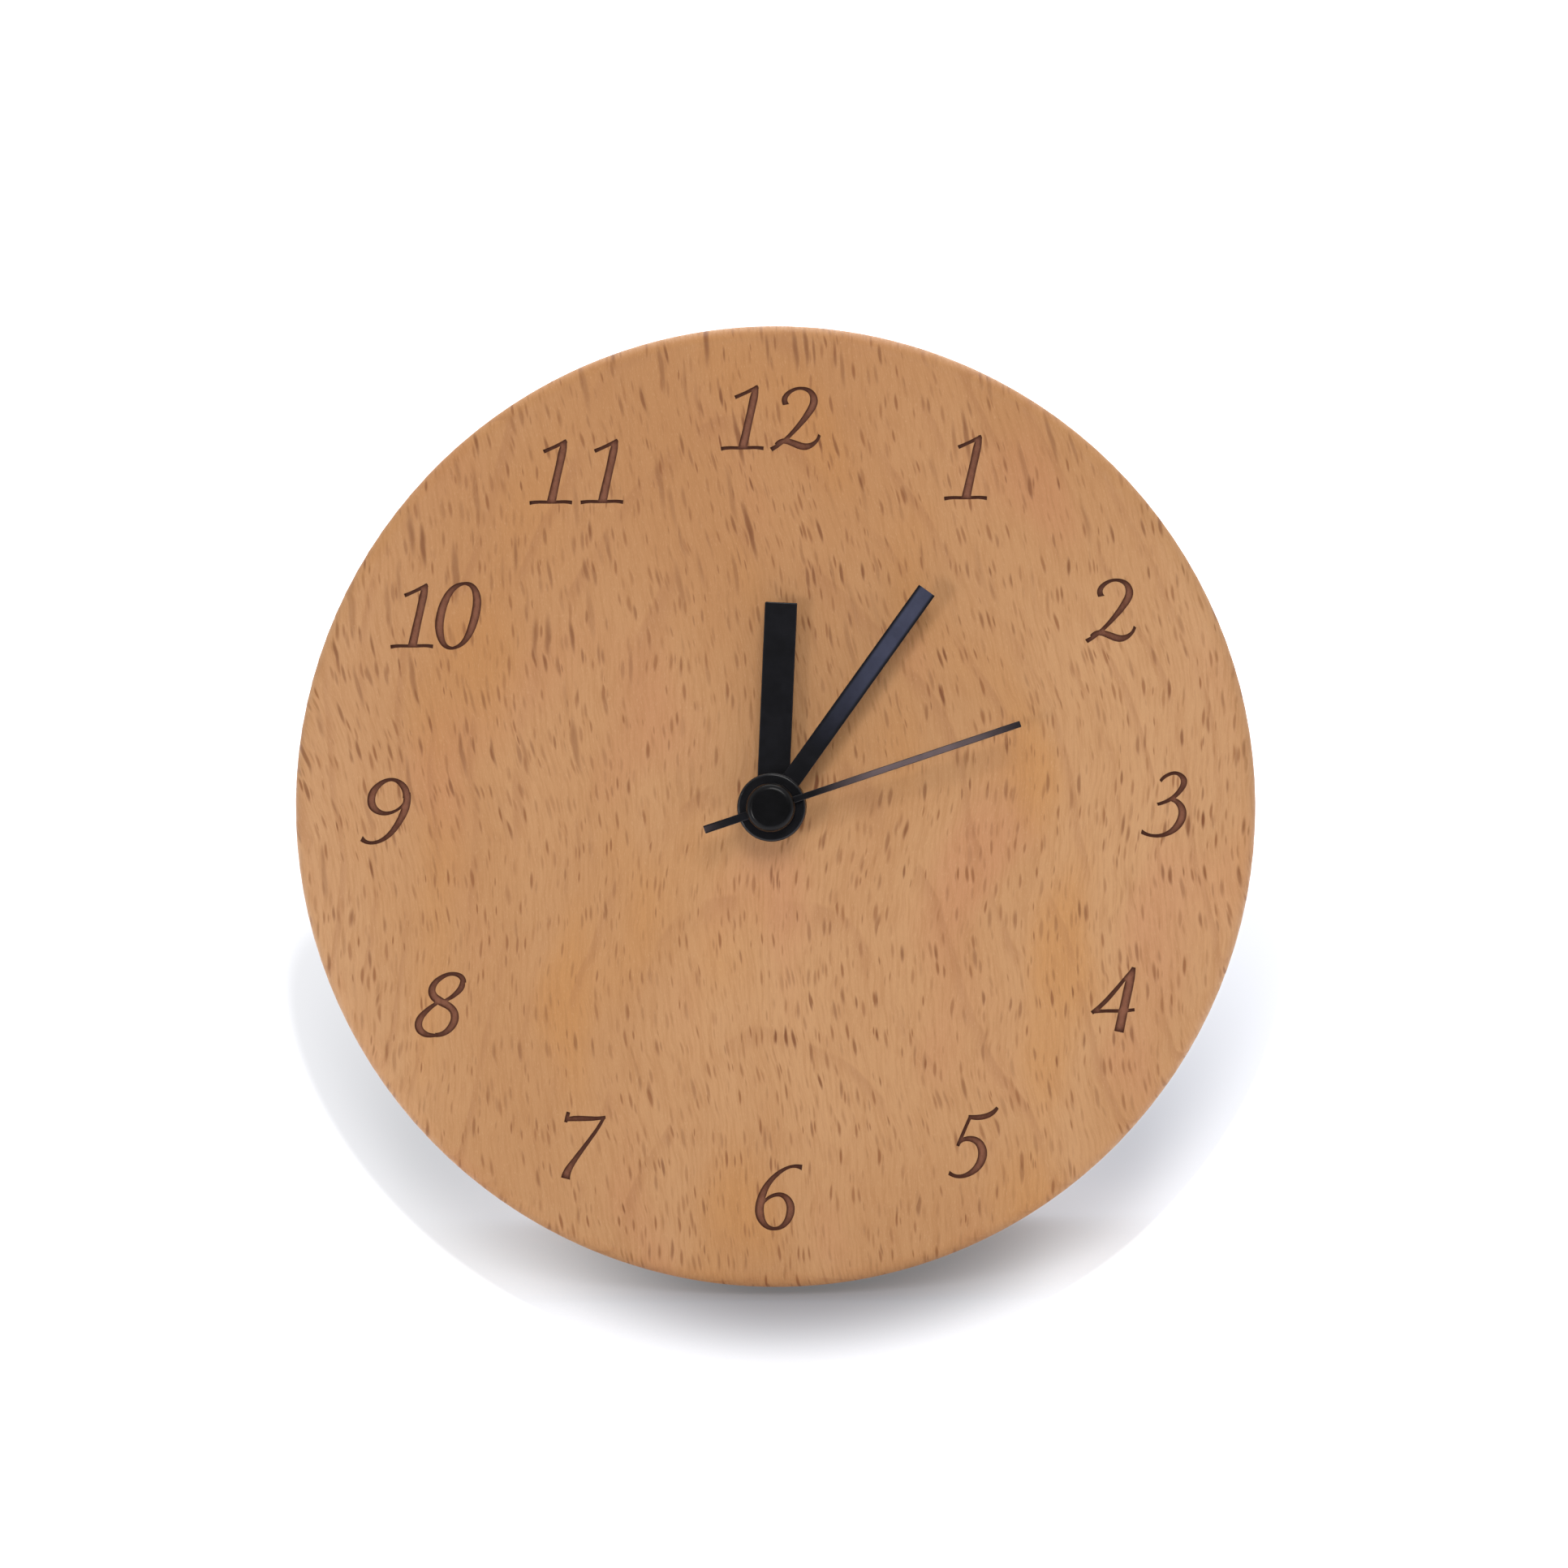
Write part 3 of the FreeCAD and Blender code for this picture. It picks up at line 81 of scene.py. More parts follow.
def colour(red, green, blue):
    """A colour from its screen values, 0 to 255, as the renderer wants it."""
    def linear(value):
        share = value / 255
        return share / 12.92 if share <= 0.04045 else ((share + 0.055) / 1.055) ** 2.4
    return (linear(red), linear(green), linear(blue), 1)


class Nodes:
    """A node tree in the making. Most calls add nodes and return the last one's output."""

    def __init__(self, tree):
        self.tree = tree

    def node(self, kind, inputs, **settings):
        node = self.tree.nodes.new(kind)
        for name, value in settings.items():
            setattr(node, name, value)
        for key, value in inputs.items():
            self.feed(node.inputs[key], value)
        return node

    def add(self, kind, inputs, output=0, **settings):
        return self.node(kind, inputs, **settings).outputs[output]

    def feed(self, socket, value):
        """Link a socket to another node's output, or give it a plain value."""
        if isinstance(value, bpy.types.NodeSocket):
            self.tree.links.new(value, socket)
        else:
            socket.default_value = value

    def coordinates(self, kind):
        return self.add("ShaderNodeTexCoord", {}, output=kind)

    def light_path(self):
        return self.node("ShaderNodeLightPath", {}).outputs

    def split(self, vector):
        return self.node("ShaderNodeSeparateXYZ", {0: vector}).outputs

    def join(self, x, y, z):
        return self.add("ShaderNodeCombineXYZ", {"X": x, "Y": y, "Z": z})

    def math(self, operation, *values):
        return self.add("ShaderNodeMath", dict(enumerate(values)), operation=operation)

    def times(self, first, *others):
        """The product of all the values."""
        for other in others:
            first = self.math("MULTIPLY", first, other)
        return first

    def length(self, first, second):
        """The length of a way with the two legs."""
        return self.math("SQRT", self.math("ADD", self.times(first, first),
                                           self.times(second, second)))

    def vector_math(self, operation, first, second):
        return self.add("ShaderNodeVectorMath", {0: first, 1: second}, operation=operation)

    def shape(self, value, start, end, low=0.0, high=1.0):
        """A smooth step of a value, from low at start to high at end."""
        return self.add("ShaderNodeMapRange", {
            "Value": value, "From Min": start, "From Max": end,
            "To Min": low, "To Max": high,
        }, interpolation_type="SMOOTHSTEP")

    def mix(self, share, first, second):
        """A colour between two: the first at share 0, the second at share 1."""
        # The node's inputs 6 and 7 and its output 2 are the ones for colours.
        return self.add("ShaderNodeMix", {0: share, 6: first, 7: second}, output=2,
                        data_type="RGBA", blend_type="MIX")

    def stretch(self, place, lengths):
        """A place measured in the three lengths, which are in millimetres."""
        return self.vector_math("MULTIPLY", place, [1 / length for length in lengths])

    def noise(self, place, lengths, detail, roughness, output=0):
        """Noise whose features are as long as the three lengths, in millimetres."""
        return self.add("ShaderNodeTexNoise", {
            "Vector": self.stretch(place, lengths),
            "Scale": 1.0, "Detail": detail, "Roughness": roughness,
        }, output=output)

    def drift(self, place, lengths, detail, roughness, amount):
        """A shift to and fro by up to half the amount, in millimetres."""
        drift = self.noise(place, lengths, detail, roughness, output="Color")
        drift = self.vector_math("SUBTRACT", drift, (0.5, 0.5, 0.5))
        return self.vector_math("MULTIPLY", drift, amount)


class Shader(Nodes):
    """A material in the making."""

    def __init__(self, name):
        self.material = bpy.data.materials.new(name)
        self.material.use_nodes = True
        super().__init__(self.material.node_tree)
        self.surface = self.tree.nodes["Principled BSDF"]

    def set(self, **inputs):
        """Feed the surface's own sockets; an underscore in a name stands for a space."""
        for name, value in inputs.items():
            self.feed(self.surface.inputs[name.replace("_", " ")], value)

    def dial_place(self):
        """Place in the dial's own frame, in millimetres."""
        to_dial = DIAL_FRAME.inverted()
        return self.add("ShaderNodeMapping", {
            "Vector": self.coordinates("Object"),
            "Location": to_dial.translation / MM,
            "Rotation": to_dial.to_euler(),
            "Scale": Vector((1, 1, 1)) / MM,
        })

    def bump(self, height, strength, distance):
        """Bump from a height; the distance is in millimetres."""
        return self.add("ShaderNodeBump", {
            "Height": height, "Strength": strength, "Distance": distance * MM,
        })


# Wood. Its places and lengths are in millimetres, in the dial's own frame.

# The face is flat up to this radius, where its rounded edge starts.
FLAT_RADIUS = 57.0
ENGRAVING_DEPTH = 0.4
RING_PITCH = 2.9
PITH_DEPTH = 62.0


def along_grain(shader, place):
    """Place along the wood's grain, which leans to the left, more so towards the top,
    and wanders."""
    x, y, z = shader.split(place)
    wander = shader.drift(place, (70, 55, 45), 1.5, 0.5, (15, 0, 9))
    lean = shader.math("MULTIPLY_ADD", y, 0.0008, 0.09)
    leaning = shader.join(shader.math("MULTIPLY_ADD", y, lean, x), y, z)
    ripple = shader.drift(place, (7, 9, 30), 2.0, 0.6, (1.5, 0, 0))
    return shader.vector_math("ADD", shader.vector_math("ADD", leaning, wander), ripple)


def tints_and_painted_light(shader, grain, shifted, x, y):
    """Tan, with a pinker and a more golden tint here and there; painted shade darkens it
    towards the upper left and painted light makes it paler at the sides."""
    tone = shader.noise(grain, (26, 60, 30), 2.0, 0.55)
    pink = shader.noise(grain, (17, 26, 20), 1.0, 0.5)
    gold = shader.noise(shifted, (15, 30, 20), 1.0, 0.5)
    # Painted shade towards the upper left and painted light at the sides.
    painted_shade_slope = shader.math("MULTIPLY_ADD", x, -0.45, y)
    painted_light_aside = shader.math("ABSOLUTE", x)
    wood = shader.mix(shader.shape(tone, 0.35, 0.68), colour(199, 146, 95), colour(209, 158, 108))
    for share, tint in (
            (shader.shape(pink, 0.52, 0.74, 0.0, 0.50), colour(205, 140, 98)),
            (shader.shape(gold, 0.52, 0.74, 0.0, 0.55), colour(204, 142, 76)),
            (shader.shape(painted_shade_slope, -5.0, 52.0, 0.0, 0.52), colour(185, 126, 73)),
            (shader.shape(painted_light_aside, 36.0, 60.0, 0.0, 0.40), colour(216, 168, 122))):
        wood = shader.mix(share, wood, tint)
    return wood


def growth_lines(shader, place, grain, shifted):
    """Rings about a pith far behind the face, which the face cuts into upright lines at the
    sides and into arches near the middle."""
    x, y, z = shader.split(grain)
    pith_depth = shader.math("ADD", shader.math("MULTIPLY_ADD", y, 0.16, z), PITH_DEPTH)
    uneven = shader.noise(place, (20, 40, 20), 2.0, 0.6)
    radius = shader.math("MULTIPLY_ADD", uneven, 1.6, shader.length(x, pith_depth))
    ring = shader.math("FRACT", shader.math("DIVIDE", radius, RING_PITCH))
    broken = shader.noise(shifted, (5, 16, 12), 2.0, 0.6)
    return shader.times(shader.shape(ring, 0.70, 0.93), shader.shape(ring, 1.0, 0.95),
                        shader.shape(broken, 0.44, 0.62, 0.10, 1.0))


def ray_flecks(shader, grain, offset, cell, reach, faintest):
    """The ends of the wood's rays: one spindle-shaped mark per cell, of differing size.
    The offset keeps one set of flecks from lying upon another."""
    if offset:
        grain = shader.vector_math("ADD", grain, offset)
    cells = shader.node("ShaderNodeTexVoronoi", {
        "Vector": shader.vector_math("ADD", shader.stretch(grain, cell), (0, 0, 0.5)),
        "Scale": 1.0, "Randomness": 0.85,
    }, voronoi_dimensions="3D", feature="F1")
    chance = shader.node("ShaderNodeSeparateColor", {0: cells.outputs["Color"]}).outputs
    size = shader.math("MULTIPLY_ADD", chance[0], 0.7 * reach, 0.5 * reach)
    mark = shader.shape(shader.math("DIVIDE", cells.outputs["Distance"], size), 1.0, 0.35)
    depth = shader.math("POWER", chance[1], 1.5)
    depth = shader.math("MULTIPLY_ADD", depth, 1 - faintest, faintest)
    return shader.times(mark, depth)


def engraved_colour_and_shade(shader, place):
    """Scorched brown where the cutter burnt the wood; painted shade darkens it at the foot of the
    figures' walls.
    """
    # Painted shade: the ambient occlusion darkens the engraving near its walls.
    openness_for_painted_shade = shader.add("ShaderNodeAmbientOcclusion", {"Distance": 0.7 * MM},
                          output="AO", samples=8)
    scorch = shader.noise(place, (0.5, 0.8, 0.5), 2.0, 0.6)
    openness_for_painted_shade = shader.math("MULTIPLY_ADD", scorch, 0.25, openness_for_painted_shade)
    return shader.mix(shader.shape(openness_for_painted_shade, 0.70, 1.12), colour(84, 38, 10),
                      colour(146, 92, 65))


def make_wood():
    """Flat-sawn beech with its ray flecks, growth lines, fibres and engraved figures."""
    shader = Shader("beech_wood")
    place = shader.dial_place()
    x, y, z = shader.split(place)
    grain = along_grain(shader, place)
    shifted = shader.vector_math("ADD", grain, (140, 60, 20))
    wood = tints_and_painted_light(shader, grain, shifted, x, y)
    late = growth_lines(shader, place, grain, shifted)
    fibre = shader.noise(grain, (0.34, 4.2, 1.2), 3.0, 0.6)
    pores = shader.noise(grain, (0.12, 0.55, 0.3), 2.0, 0.7)

    # The flecks run straight into the depth: small faint ones, larger dark ones in
    # crowds, and long thin ones up and left.
    grain_x, grain_y, _ = shader.split(grain)
    upright = shader.join(grain_x, grain_y, z)
    region = shader.noise(shifted, (24, 30, 30), 1.0, 0.5)
    upward = shader.math("MULTIPLY_ADD", x, -0.55, y)
    faint = ray_flecks(shader, upright, None, (0.72, 3.9, 8), 0.36, 0.30)
    strong = ray_flecks(shader, upright, (31, 17, 0), (1.0, 5.3, 8), 0.31, 0.32)
    strong = shader.times(strong, shader.shape(region, 0.35, 0.65, 0.55, 1.0))
    long = ray_flecks(shader, upright, (77, 41, 0), (1.5, 13, 9), 0.32, 0.30)
    long = shader.times(long, shader.shape(upward, -10.0, 50.0))

    # The figures' floors and walls lie behind the face.
    engraved = shader.times(
        shader.shape(z, -0.02, -0.10),
        shader.shape(z, -ENGRAVING_DEPTH - 0.20, -ENGRAVING_DEPTH - 0.10),
        shader.shape(shader.length(x, y), FLAT_RADIUS + 0.2, FLAT_RADIUS - 0.2))

    for share, tint in (
            (shader.times(late, 0.26), colour(158, 100, 60)),
            (shader.shape(fibre, 0.38, 0.70, 0.0, 0.32), colour(176, 121, 73)),
            (shader.shape(pores, 0.54, 0.74, 0.0, 0.25), colour(226, 182, 134)),
            (shader.times(faint, 0.90), colour(152, 96, 54)),
            (strong, colour(128, 73, 36)),
            (shader.times(long, 0.95), colour(126, 72, 36)),
            (engraved, engraved_colour_and_shade(shader, place))):
        wood = shader.mix(share, wood, tint)

    height = shader.math("SUBTRACT", fibre, shader.times(strong, 0.6))
    height = shader.math("MULTIPLY_ADD", pores, 0.5, height)
    shader.set(Base_Color=wood,
               Roughness=shader.shape(fibre, 0.3, 0.75, 0.50, 0.66),
               Specular_IOR_Level=0.32,
               Normal=shader.bump(height, 0.28, 0.05))
    return shader.material


# Plastic, metal, felt and the rest, with lengths in millimetres.

WIRE_PITCH = 0.16
WEAVE_PITCH = 0.5

# Along the battery, from the dial's centre: where the sleeve's band starts, and where the
# sleeve gives way to bare metal at its two ends.
BAND_START = 14.0
POSITIVE_END = 23.9
NEGATIVE_END = -24.6


def make_plastic(name, tone, other_tone, roughness, texture):
    """Moulded plastic: a fine surface texture, uneven gloss and a slightly uneven colour."""
    shader = Shader(name)
    place = shader.dial_place()
    cloud = shader.noise(place, (7, 7, 7), 3.0, 0.55)
    grit = shader.noise(place, (texture, texture, texture), 2.0, 0.6)
    shader.set(Base_Color=shader.mix(shader.shape(cloud, 0.35, 0.68), tone, other_tone),
               Roughness=shader.shape(cloud, 0.3, 0.7, roughness - 0.06, roughness + 0.07),
               Specular_IOR_Level=0.5,
               Normal=shader.bump(grit, 0.35, 0.02))
    return shader.material


def painted_sheen_strip(shader, place, clock_angle, reach, half_width):
    """A strip of painted reflection along a hand's middle. It comes in between the first two
    radii of its reach and goes out between the last two."""
    x, y, _ = shader.split(place)
    turn = math.radians(clock_angle)
    across = shader.math("MULTIPLY_ADD", y, -math.sin(turn),
                         shader.math("MULTIPLY", x, math.cos(turn)))
    radius = shader.length(x, y)
    return shader.times(
        shader.shape(shader.math("ABSOLUTE", across), half_width, 0.62 * half_width),
        shader.shape(radius, reach[0], reach[1]),
        shader.shape(radius, reach[3], reach[2]))


def make_hand_black(name, tones=(colour(17, 17, 20), colour(21, 21, 25)), coat=0.4,
                    sheen=None, **strip):
    """Black satin lacquer. A hand may have a lighter sheen painted along its middle, a painted
    reflection.
    """
    shader = Shader(name)
    place = shader.dial_place()
    cloud = shader.noise(place, (2.5, 2.5, 2.5), 3.0, 0.6)
    grit = shader.noise(place, (0.16, 0.16, 0.16), 2.0, 0.6)
    shade = shader.mix(shader.shape(cloud, 0.35, 0.7), tones[0], tones[1])
    # The strip is a painted reflection.
    if sheen:
        painted_sheen_share = shader.times(painted_sheen_strip(shader, place, **strip),
                            shader.shape(cloud, 0.15, 0.75, 0.75, 1.0))
        shade = shader.mix(painted_sheen_share, shade, sheen)
    shader.set(Base_Color=shade,
               Roughness=shader.shape(cloud, 0.3, 0.7, 0.30, 0.35),
               Specular_IOR_Level=0.10, Coat_Weight=coat, Coat_Roughness=0.12,
               Normal=shader.bump(grit, 0.10, 0.01))
    return shader.material


def make_metal(name, tone, other_tone, roughness, brush):
    """Metal with fine lines along the brush's long way and a faint stain."""
    shader = Shader(name)
    place = shader.dial_place()
    lines = shader.noise(place, brush, 3.0, 0.6)
    stain = shader.noise(place, (3, 3, 3), 3.0, 0.55)
    shader.set(Base_Color=shader.mix(shader.shape(stain, 0.4, 0.7), tone, other_tone),
               Metallic=1.0,
               Roughness=shader.shape(lines, 0.3, 0.7, roughness - 0.07, roughness + 0.09),
               Normal=shader.bump(lines, 0.25, 0.01))
    return shader.material


def make_felt():
    """Dense dark felt: short loose fibres, clumps and a soft sheen."""
    shader = Shader("felt_wool")
    place = shader.dial_place()
    fibres = shader.noise(place, (0.12, 0.6, 0.6), 4.0, 0.7)
    clumps = shader.noise(place, (1.6, 1.6, 1.6), 3.0, 0.6)
    fluff = shader.mix(shader.shape(clumps, 0.35, 0.68), colour(52, 51, 54), colour(72, 71, 74))
    fluff = shader.mix(shader.shape(fibres, 0.55, 0.75, 0.0, 0.6), fluff, colour(112, 110, 114))
    height = shader.math("MULTIPLY_ADD", clumps, 0.7, fibres)
    shader.set(Base_Color=fluff, Roughness=0.95, Specular_IOR_Level=0.15,
               Sheen_Weight=0.35, Sheen_Roughness=0.6,
               Normal=shader.bump(height, 0.8, 0.12))
    return shader.material


def make_foam():
    """Black cellular rubber with open cells."""
    shader = Shader("foam_rubber")
    place = shader.dial_place()
    cells = shader.add("ShaderNodeTexVoronoi", {
        "Vector": shader.vector_math("MULTIPLY", place, (3.5, 3.5, 3.5)), "Scale": 1.0,
    })
    shade = shader.mix(shader.shape(cells, 0.1, 0.6), colour(26, 26, 28), colour(52, 52, 54))
    shader.set(Base_Color=shade, Roughness=0.9, Specular_IOR_Level=0.25,
               Normal=shader.bump(cells, 0.8, 0.12))
    return shader.material


def make_copper():
    """Enamelled wire, wound in even turns along the coil."""
    shader = Shader("copper_winding")
    place = shader.dial_place()
    x, _, _ = shader.split(place)
    turn = shader.math("SINE", shader.math("MULTIPLY", x, 2 * math.pi / WIRE_PITCH))
    patch = shader.noise(place, (0.5, 2.0, 2.0), 2.0, 0.5)
    shade = shader.mix(shader.shape(patch, 0.35, 0.7), colour(176, 92, 40), colour(206, 122, 60))
    shader.set(Base_Color=shade, Metallic=0.85,
               Roughness=shader.shape(patch, 0.3, 0.7, 0.26, 0.40),
               Coat_Weight=0.5, Coat_Roughness=0.15,
               Normal=shader.bump(turn, 0.6, 0.05))
    return shader.material


def make_board():
    """Green solder mask over tracks, with the glass weave just showing."""
    shader = Shader("circuit_board_mask")
    place = shader.dial_place()
    x, y, _ = shader.split(place)
    edges = shader.add("ShaderNodeTexVoronoi", {
        "Vector": shader.vector_math("MULTIPLY", place, (0.55, 0.55, 0.1)), "Scale": 1.0,
    }, feature="DISTANCE_TO_EDGE")
    tracks = shader.shape(edges, 0.07, 0.045)
    warp = shader.math("SINE", shader.math("MULTIPLY", x, 2 * math.pi / WEAVE_PITCH))
    weft = shader.math("SINE", shader.math("MULTIPLY", y, 2 * math.pi / WEAVE_PITCH))
    weave = shader.times(warp, weft)
    mask = shader.mix(shader.shape(weave, -0.8, 0.8), colour(20, 78, 44), colour(26, 90, 52))
    mask = shader.mix(tracks, mask, colour(48, 122, 70))
    shader.set(Base_Color=mask, Roughness=0.32, Specular_IOR_Level=0.5,
               Normal=shader.bump(shader.math("MULTIPLY_ADD", weave, 0.15, tracks), 0.4, 0.03))
    return shader.material


def make_cell_sleeve():
    """Battery sleeve: satin charcoal film with a copper-coloured end band, no words. The
    cell's two ends are bare metal."""
    shader = Shader("battery_sleeve")
    place = shader.dial_place()
    x, _, _ = shader.split(place)
    lines = shader.noise(place, (4.0, 0.12, 0.12), 2.0, 0.6)
    scuff = shader.noise(place, (2.0, 3.0, 3.0), 4.0, 0.65)
    band = shader.shape(x, BAND_START - 0.1, BAND_START + 0.1)
    positive_end = shader.shape(x, POSITIVE_END, POSITIVE_END + 0.15)
    negative_end = shader.shape(x, NEGATIVE_END, NEGATIVE_END - 0.15)
    film = shader.mix(shader.shape(scuff, 0.35, 0.75), colour(42, 44, 49), colour(52, 54, 59))
    film = shader.mix(band, film, colour(172, 108, 62))
    film = shader.mix(positive_end, film, colour(190, 190, 186))
    film = shader.mix(negative_end, film, colour(186, 186, 182))
    bare = shader.math("MAXIMUM", positive_end, negative_end)
    shader.set(Base_Color=film,
               Metallic=shader.math("MAXIMUM", bare, 0.35),
               Roughness=shader.shape(lines, 0.3, 0.7, 0.28, 0.42),
               Normal=shader.bump(lines, 0.12, 0.01))
    return shader.material


materials = {
    "beech": make_wood(),
    "felt": make_felt(),
    "foam": make_foam(),
    "case_plastic": make_plastic("case_black", colour(30, 30, 32), colour(37, 37, 39), 0.52, 0.28),
    "hand_black": make_hand_black("hand_lacquer"),
    "wheel_plastic": make_plastic("wheel_acetal", colour(226, 222, 206), colour(214, 208, 190),
                                  0.40, 0.2),
    "knob_plastic": make_plastic("knob_black", colour(38, 38, 41), colour(47, 47, 50), 0.42, 0.2),
    "steel": make_metal("zinc_steel", colour(196, 198, 202), colour(176, 176, 172), 0.30,
                        (0.1, 0.1, 1.5)),
    "spring_steel": make_metal("nickel_strip", colour(206, 203, 194), colour(186, 180, 166),
                               0.26, (1.5, 0.1, 1.5)),
    "iron": make_metal("core_iron", colour(128, 126, 124), colour(104, 98, 92), 0.46,
                       (0.6, 0.6, 0.1)),
    "magnet": make_metal("magnet_ferrite", colour(72, 72, 76), colour(56, 55, 58), 0.48,
                         (0.2, 0.2, 0.8)),
    "copper": make_copper(),
    "bobbin_plastic": make_plastic("bobbin_white", colour(232, 230, 222), colour(222, 219, 208),
                                   0.44, 0.25),
    "board": make_board(),
    "epoxy": make_plastic("chip_epoxy", colour(20, 20, 21), colour(28, 28, 29), 0.30, 0.15),
    "cell": make_cell_sleeve(),
}

# Some pieces differ from the rest of their slot. The strips of painted reflection lie where
# the hands rest, with their angles clockwise from twelve.
own_materials = {
    "minute_hand": make_hand_black(
        "minute_lacquer", sheen=colour(70, 73, 92), clock_angle=36.15, reach=(7, 26, 50, 60),
        half_width=1.08),
    "second_hand": make_hand_black(
        "second_lacquer", sheen=colour(114, 99, 99), clock_angle=72.0, reach=(5, 15, 22, 35),
        half_width=0.42),
    "second_cap": make_hand_black("cap_gloss", (colour(7, 7, 8), colour(10, 10, 12)), 0.15),
}

material_of = {name: own_materials.get(name, materials[slot_of[name]]) for name in nodes}

for name, node in nodes.items():
    for slot in node.material_slots:
        slot.link = "OBJECT"
        slot.material = material_of[name]


# Moulded and pressed pieces get broken edges.

WELD_DISTANCE = 0.001 * MM
FLAT_ANGLE = math.radians(0.3)
SHARP_ANGLE = math.radians(32)

# The width of each piece's broken edges, in millimetres.
EDGE_WIDTHS = {
    "hour_hand": 0.14,
    "minute_hand": 0.16,
    "second_hand": 0.08,
    "case_front": 0.25,
    "case_back": 0.2,
    "setting_knob": 0.12,
    "mounting_screws": 0.1,
    "contact_positive": 0.08,
    "contact_negative": 0.08,
}


def soften(node_name, width):
    """Make a copy of a node with its edges broken, which stands for the node."""
    mesh = nodes[node_name].data.copy()
    piece = bpy.data.objects.new(node_name + "_soft", mesh)
    bpy.context.scene.collection.objects.link(piece)
    work = bmesh.new()
    work.from_mesh(mesh)
    bmesh.ops.remove_doubles(work, verts=work.verts, dist=WELD_DISTANCE)
    bmesh.ops.dissolve_limit(work, angle_limit=FLAT_ANGLE, verts=work.verts, edges=work.edges)
    sharp = [edge for edge in work.edges
             if len(edge.link_faces) == 2 and edge.calc_face_angle(0) > SHARP_ANGLE]
    bmesh.ops.bevel(work, geom=sharp, offset=width * MM, segments=2, profile=0.5,
                    affect="EDGES", clamp_overlap=True)
    for face in work.faces:
        face.smooth = True
    work.to_mesh(mesh)
    work.free()
    if mesh.has_custom_normals:
        with bpy.context.temp_override(object=piece, active_object=piece):
            bpy.ops.mesh.customdata_custom_splitnormals_clear()
    shading = piece.modifiers.new("shading", "WEIGHTED_NORMAL")
    shading.keep_sharp = True
    mesh.materials.clear()
    mesh.materials.append(material_of[node_name])
    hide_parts(node_name)
    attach(piece, nodes[node_name]["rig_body"])


for name, width in EDGE_WIDTHS.items():
    soften(name, width)


# The ground and the light.

CAMERA_DISTANCE = 1.2
GROUND_HALF_WIDTH = 4.0

# How far the floor's origin is from the camera along the view, and how near a spot of the
# floor is taken to be at most.
FLOOR_DISTANCE = 1.2226
LEAST_DISTANCE = 0.5

# The shares of a spot's way to the rear that lie along the view, up in the picture and
# across it.
REAR_ALONG = 0.976
REAR_UP = 0.2164
REAR_ACROSS = 0.048

# Where the floor's origin shows in the picture, from the dial's centre.
FLOOR_RISE = -56.56 * MM
FLOOR_SIDE = 0.5 * MM

# In the picture, the disc's radius and how far the shade reaches from its centre.
DISC_RADIUS = 60 * MM
SHADE_RADIUS = 71.3 * MM

PAPER_GLOW = (0.985, 0.985, 1, 1)
DOME_LIGHT = (0.306, 0.313, 0.34, 1)
WHITE = (1, 1, 1, 1)
WARM = (1.0, 0.985, 0.97)

# Each lamp's name, place and width in metres, share of plain white and tint.
LAMPS = (
    ("key", (0.13, -0.92, 0.76), 0.42, 0.33, WARM),
    ("low", (-0.48, -1.00, 0.10), 0.18, 0.15, WARM),
    ("overhead", (0.02, 0.46, 0.84), 0.80, 0.90, (1.0, 0.995, 0.99)),
    ("back", (0.0, 1.00, 0.36), 0.60, 0.3, (0.95, 0.97, 1.0)),
)


def in_picture(shader, x, y):
    """Where a spot of the floor shows in the picture, across and up from the dial's
    centre, in metres at the dial's distance."""
    distance = shader.math("MULTIPLY_ADD", y, REAR_ALONG, FLOOR_DISTANCE)
    distance = shader.math("MAXIMUM", distance, LEAST_DISTANCE)
    nearness = shader.math("DIVIDE", CAMERA_DISTANCE, distance)
    side = shader.math("ADD", shader.math("MULTIPLY_ADD", y, REAR_ACROSS, x), FLOOR_SIDE)
    rise = shader.math("MULTIPLY_ADD", y, REAR_UP, FLOOR_RISE)
    return shader.times(side, nearness), shader.times(rise, nearness)


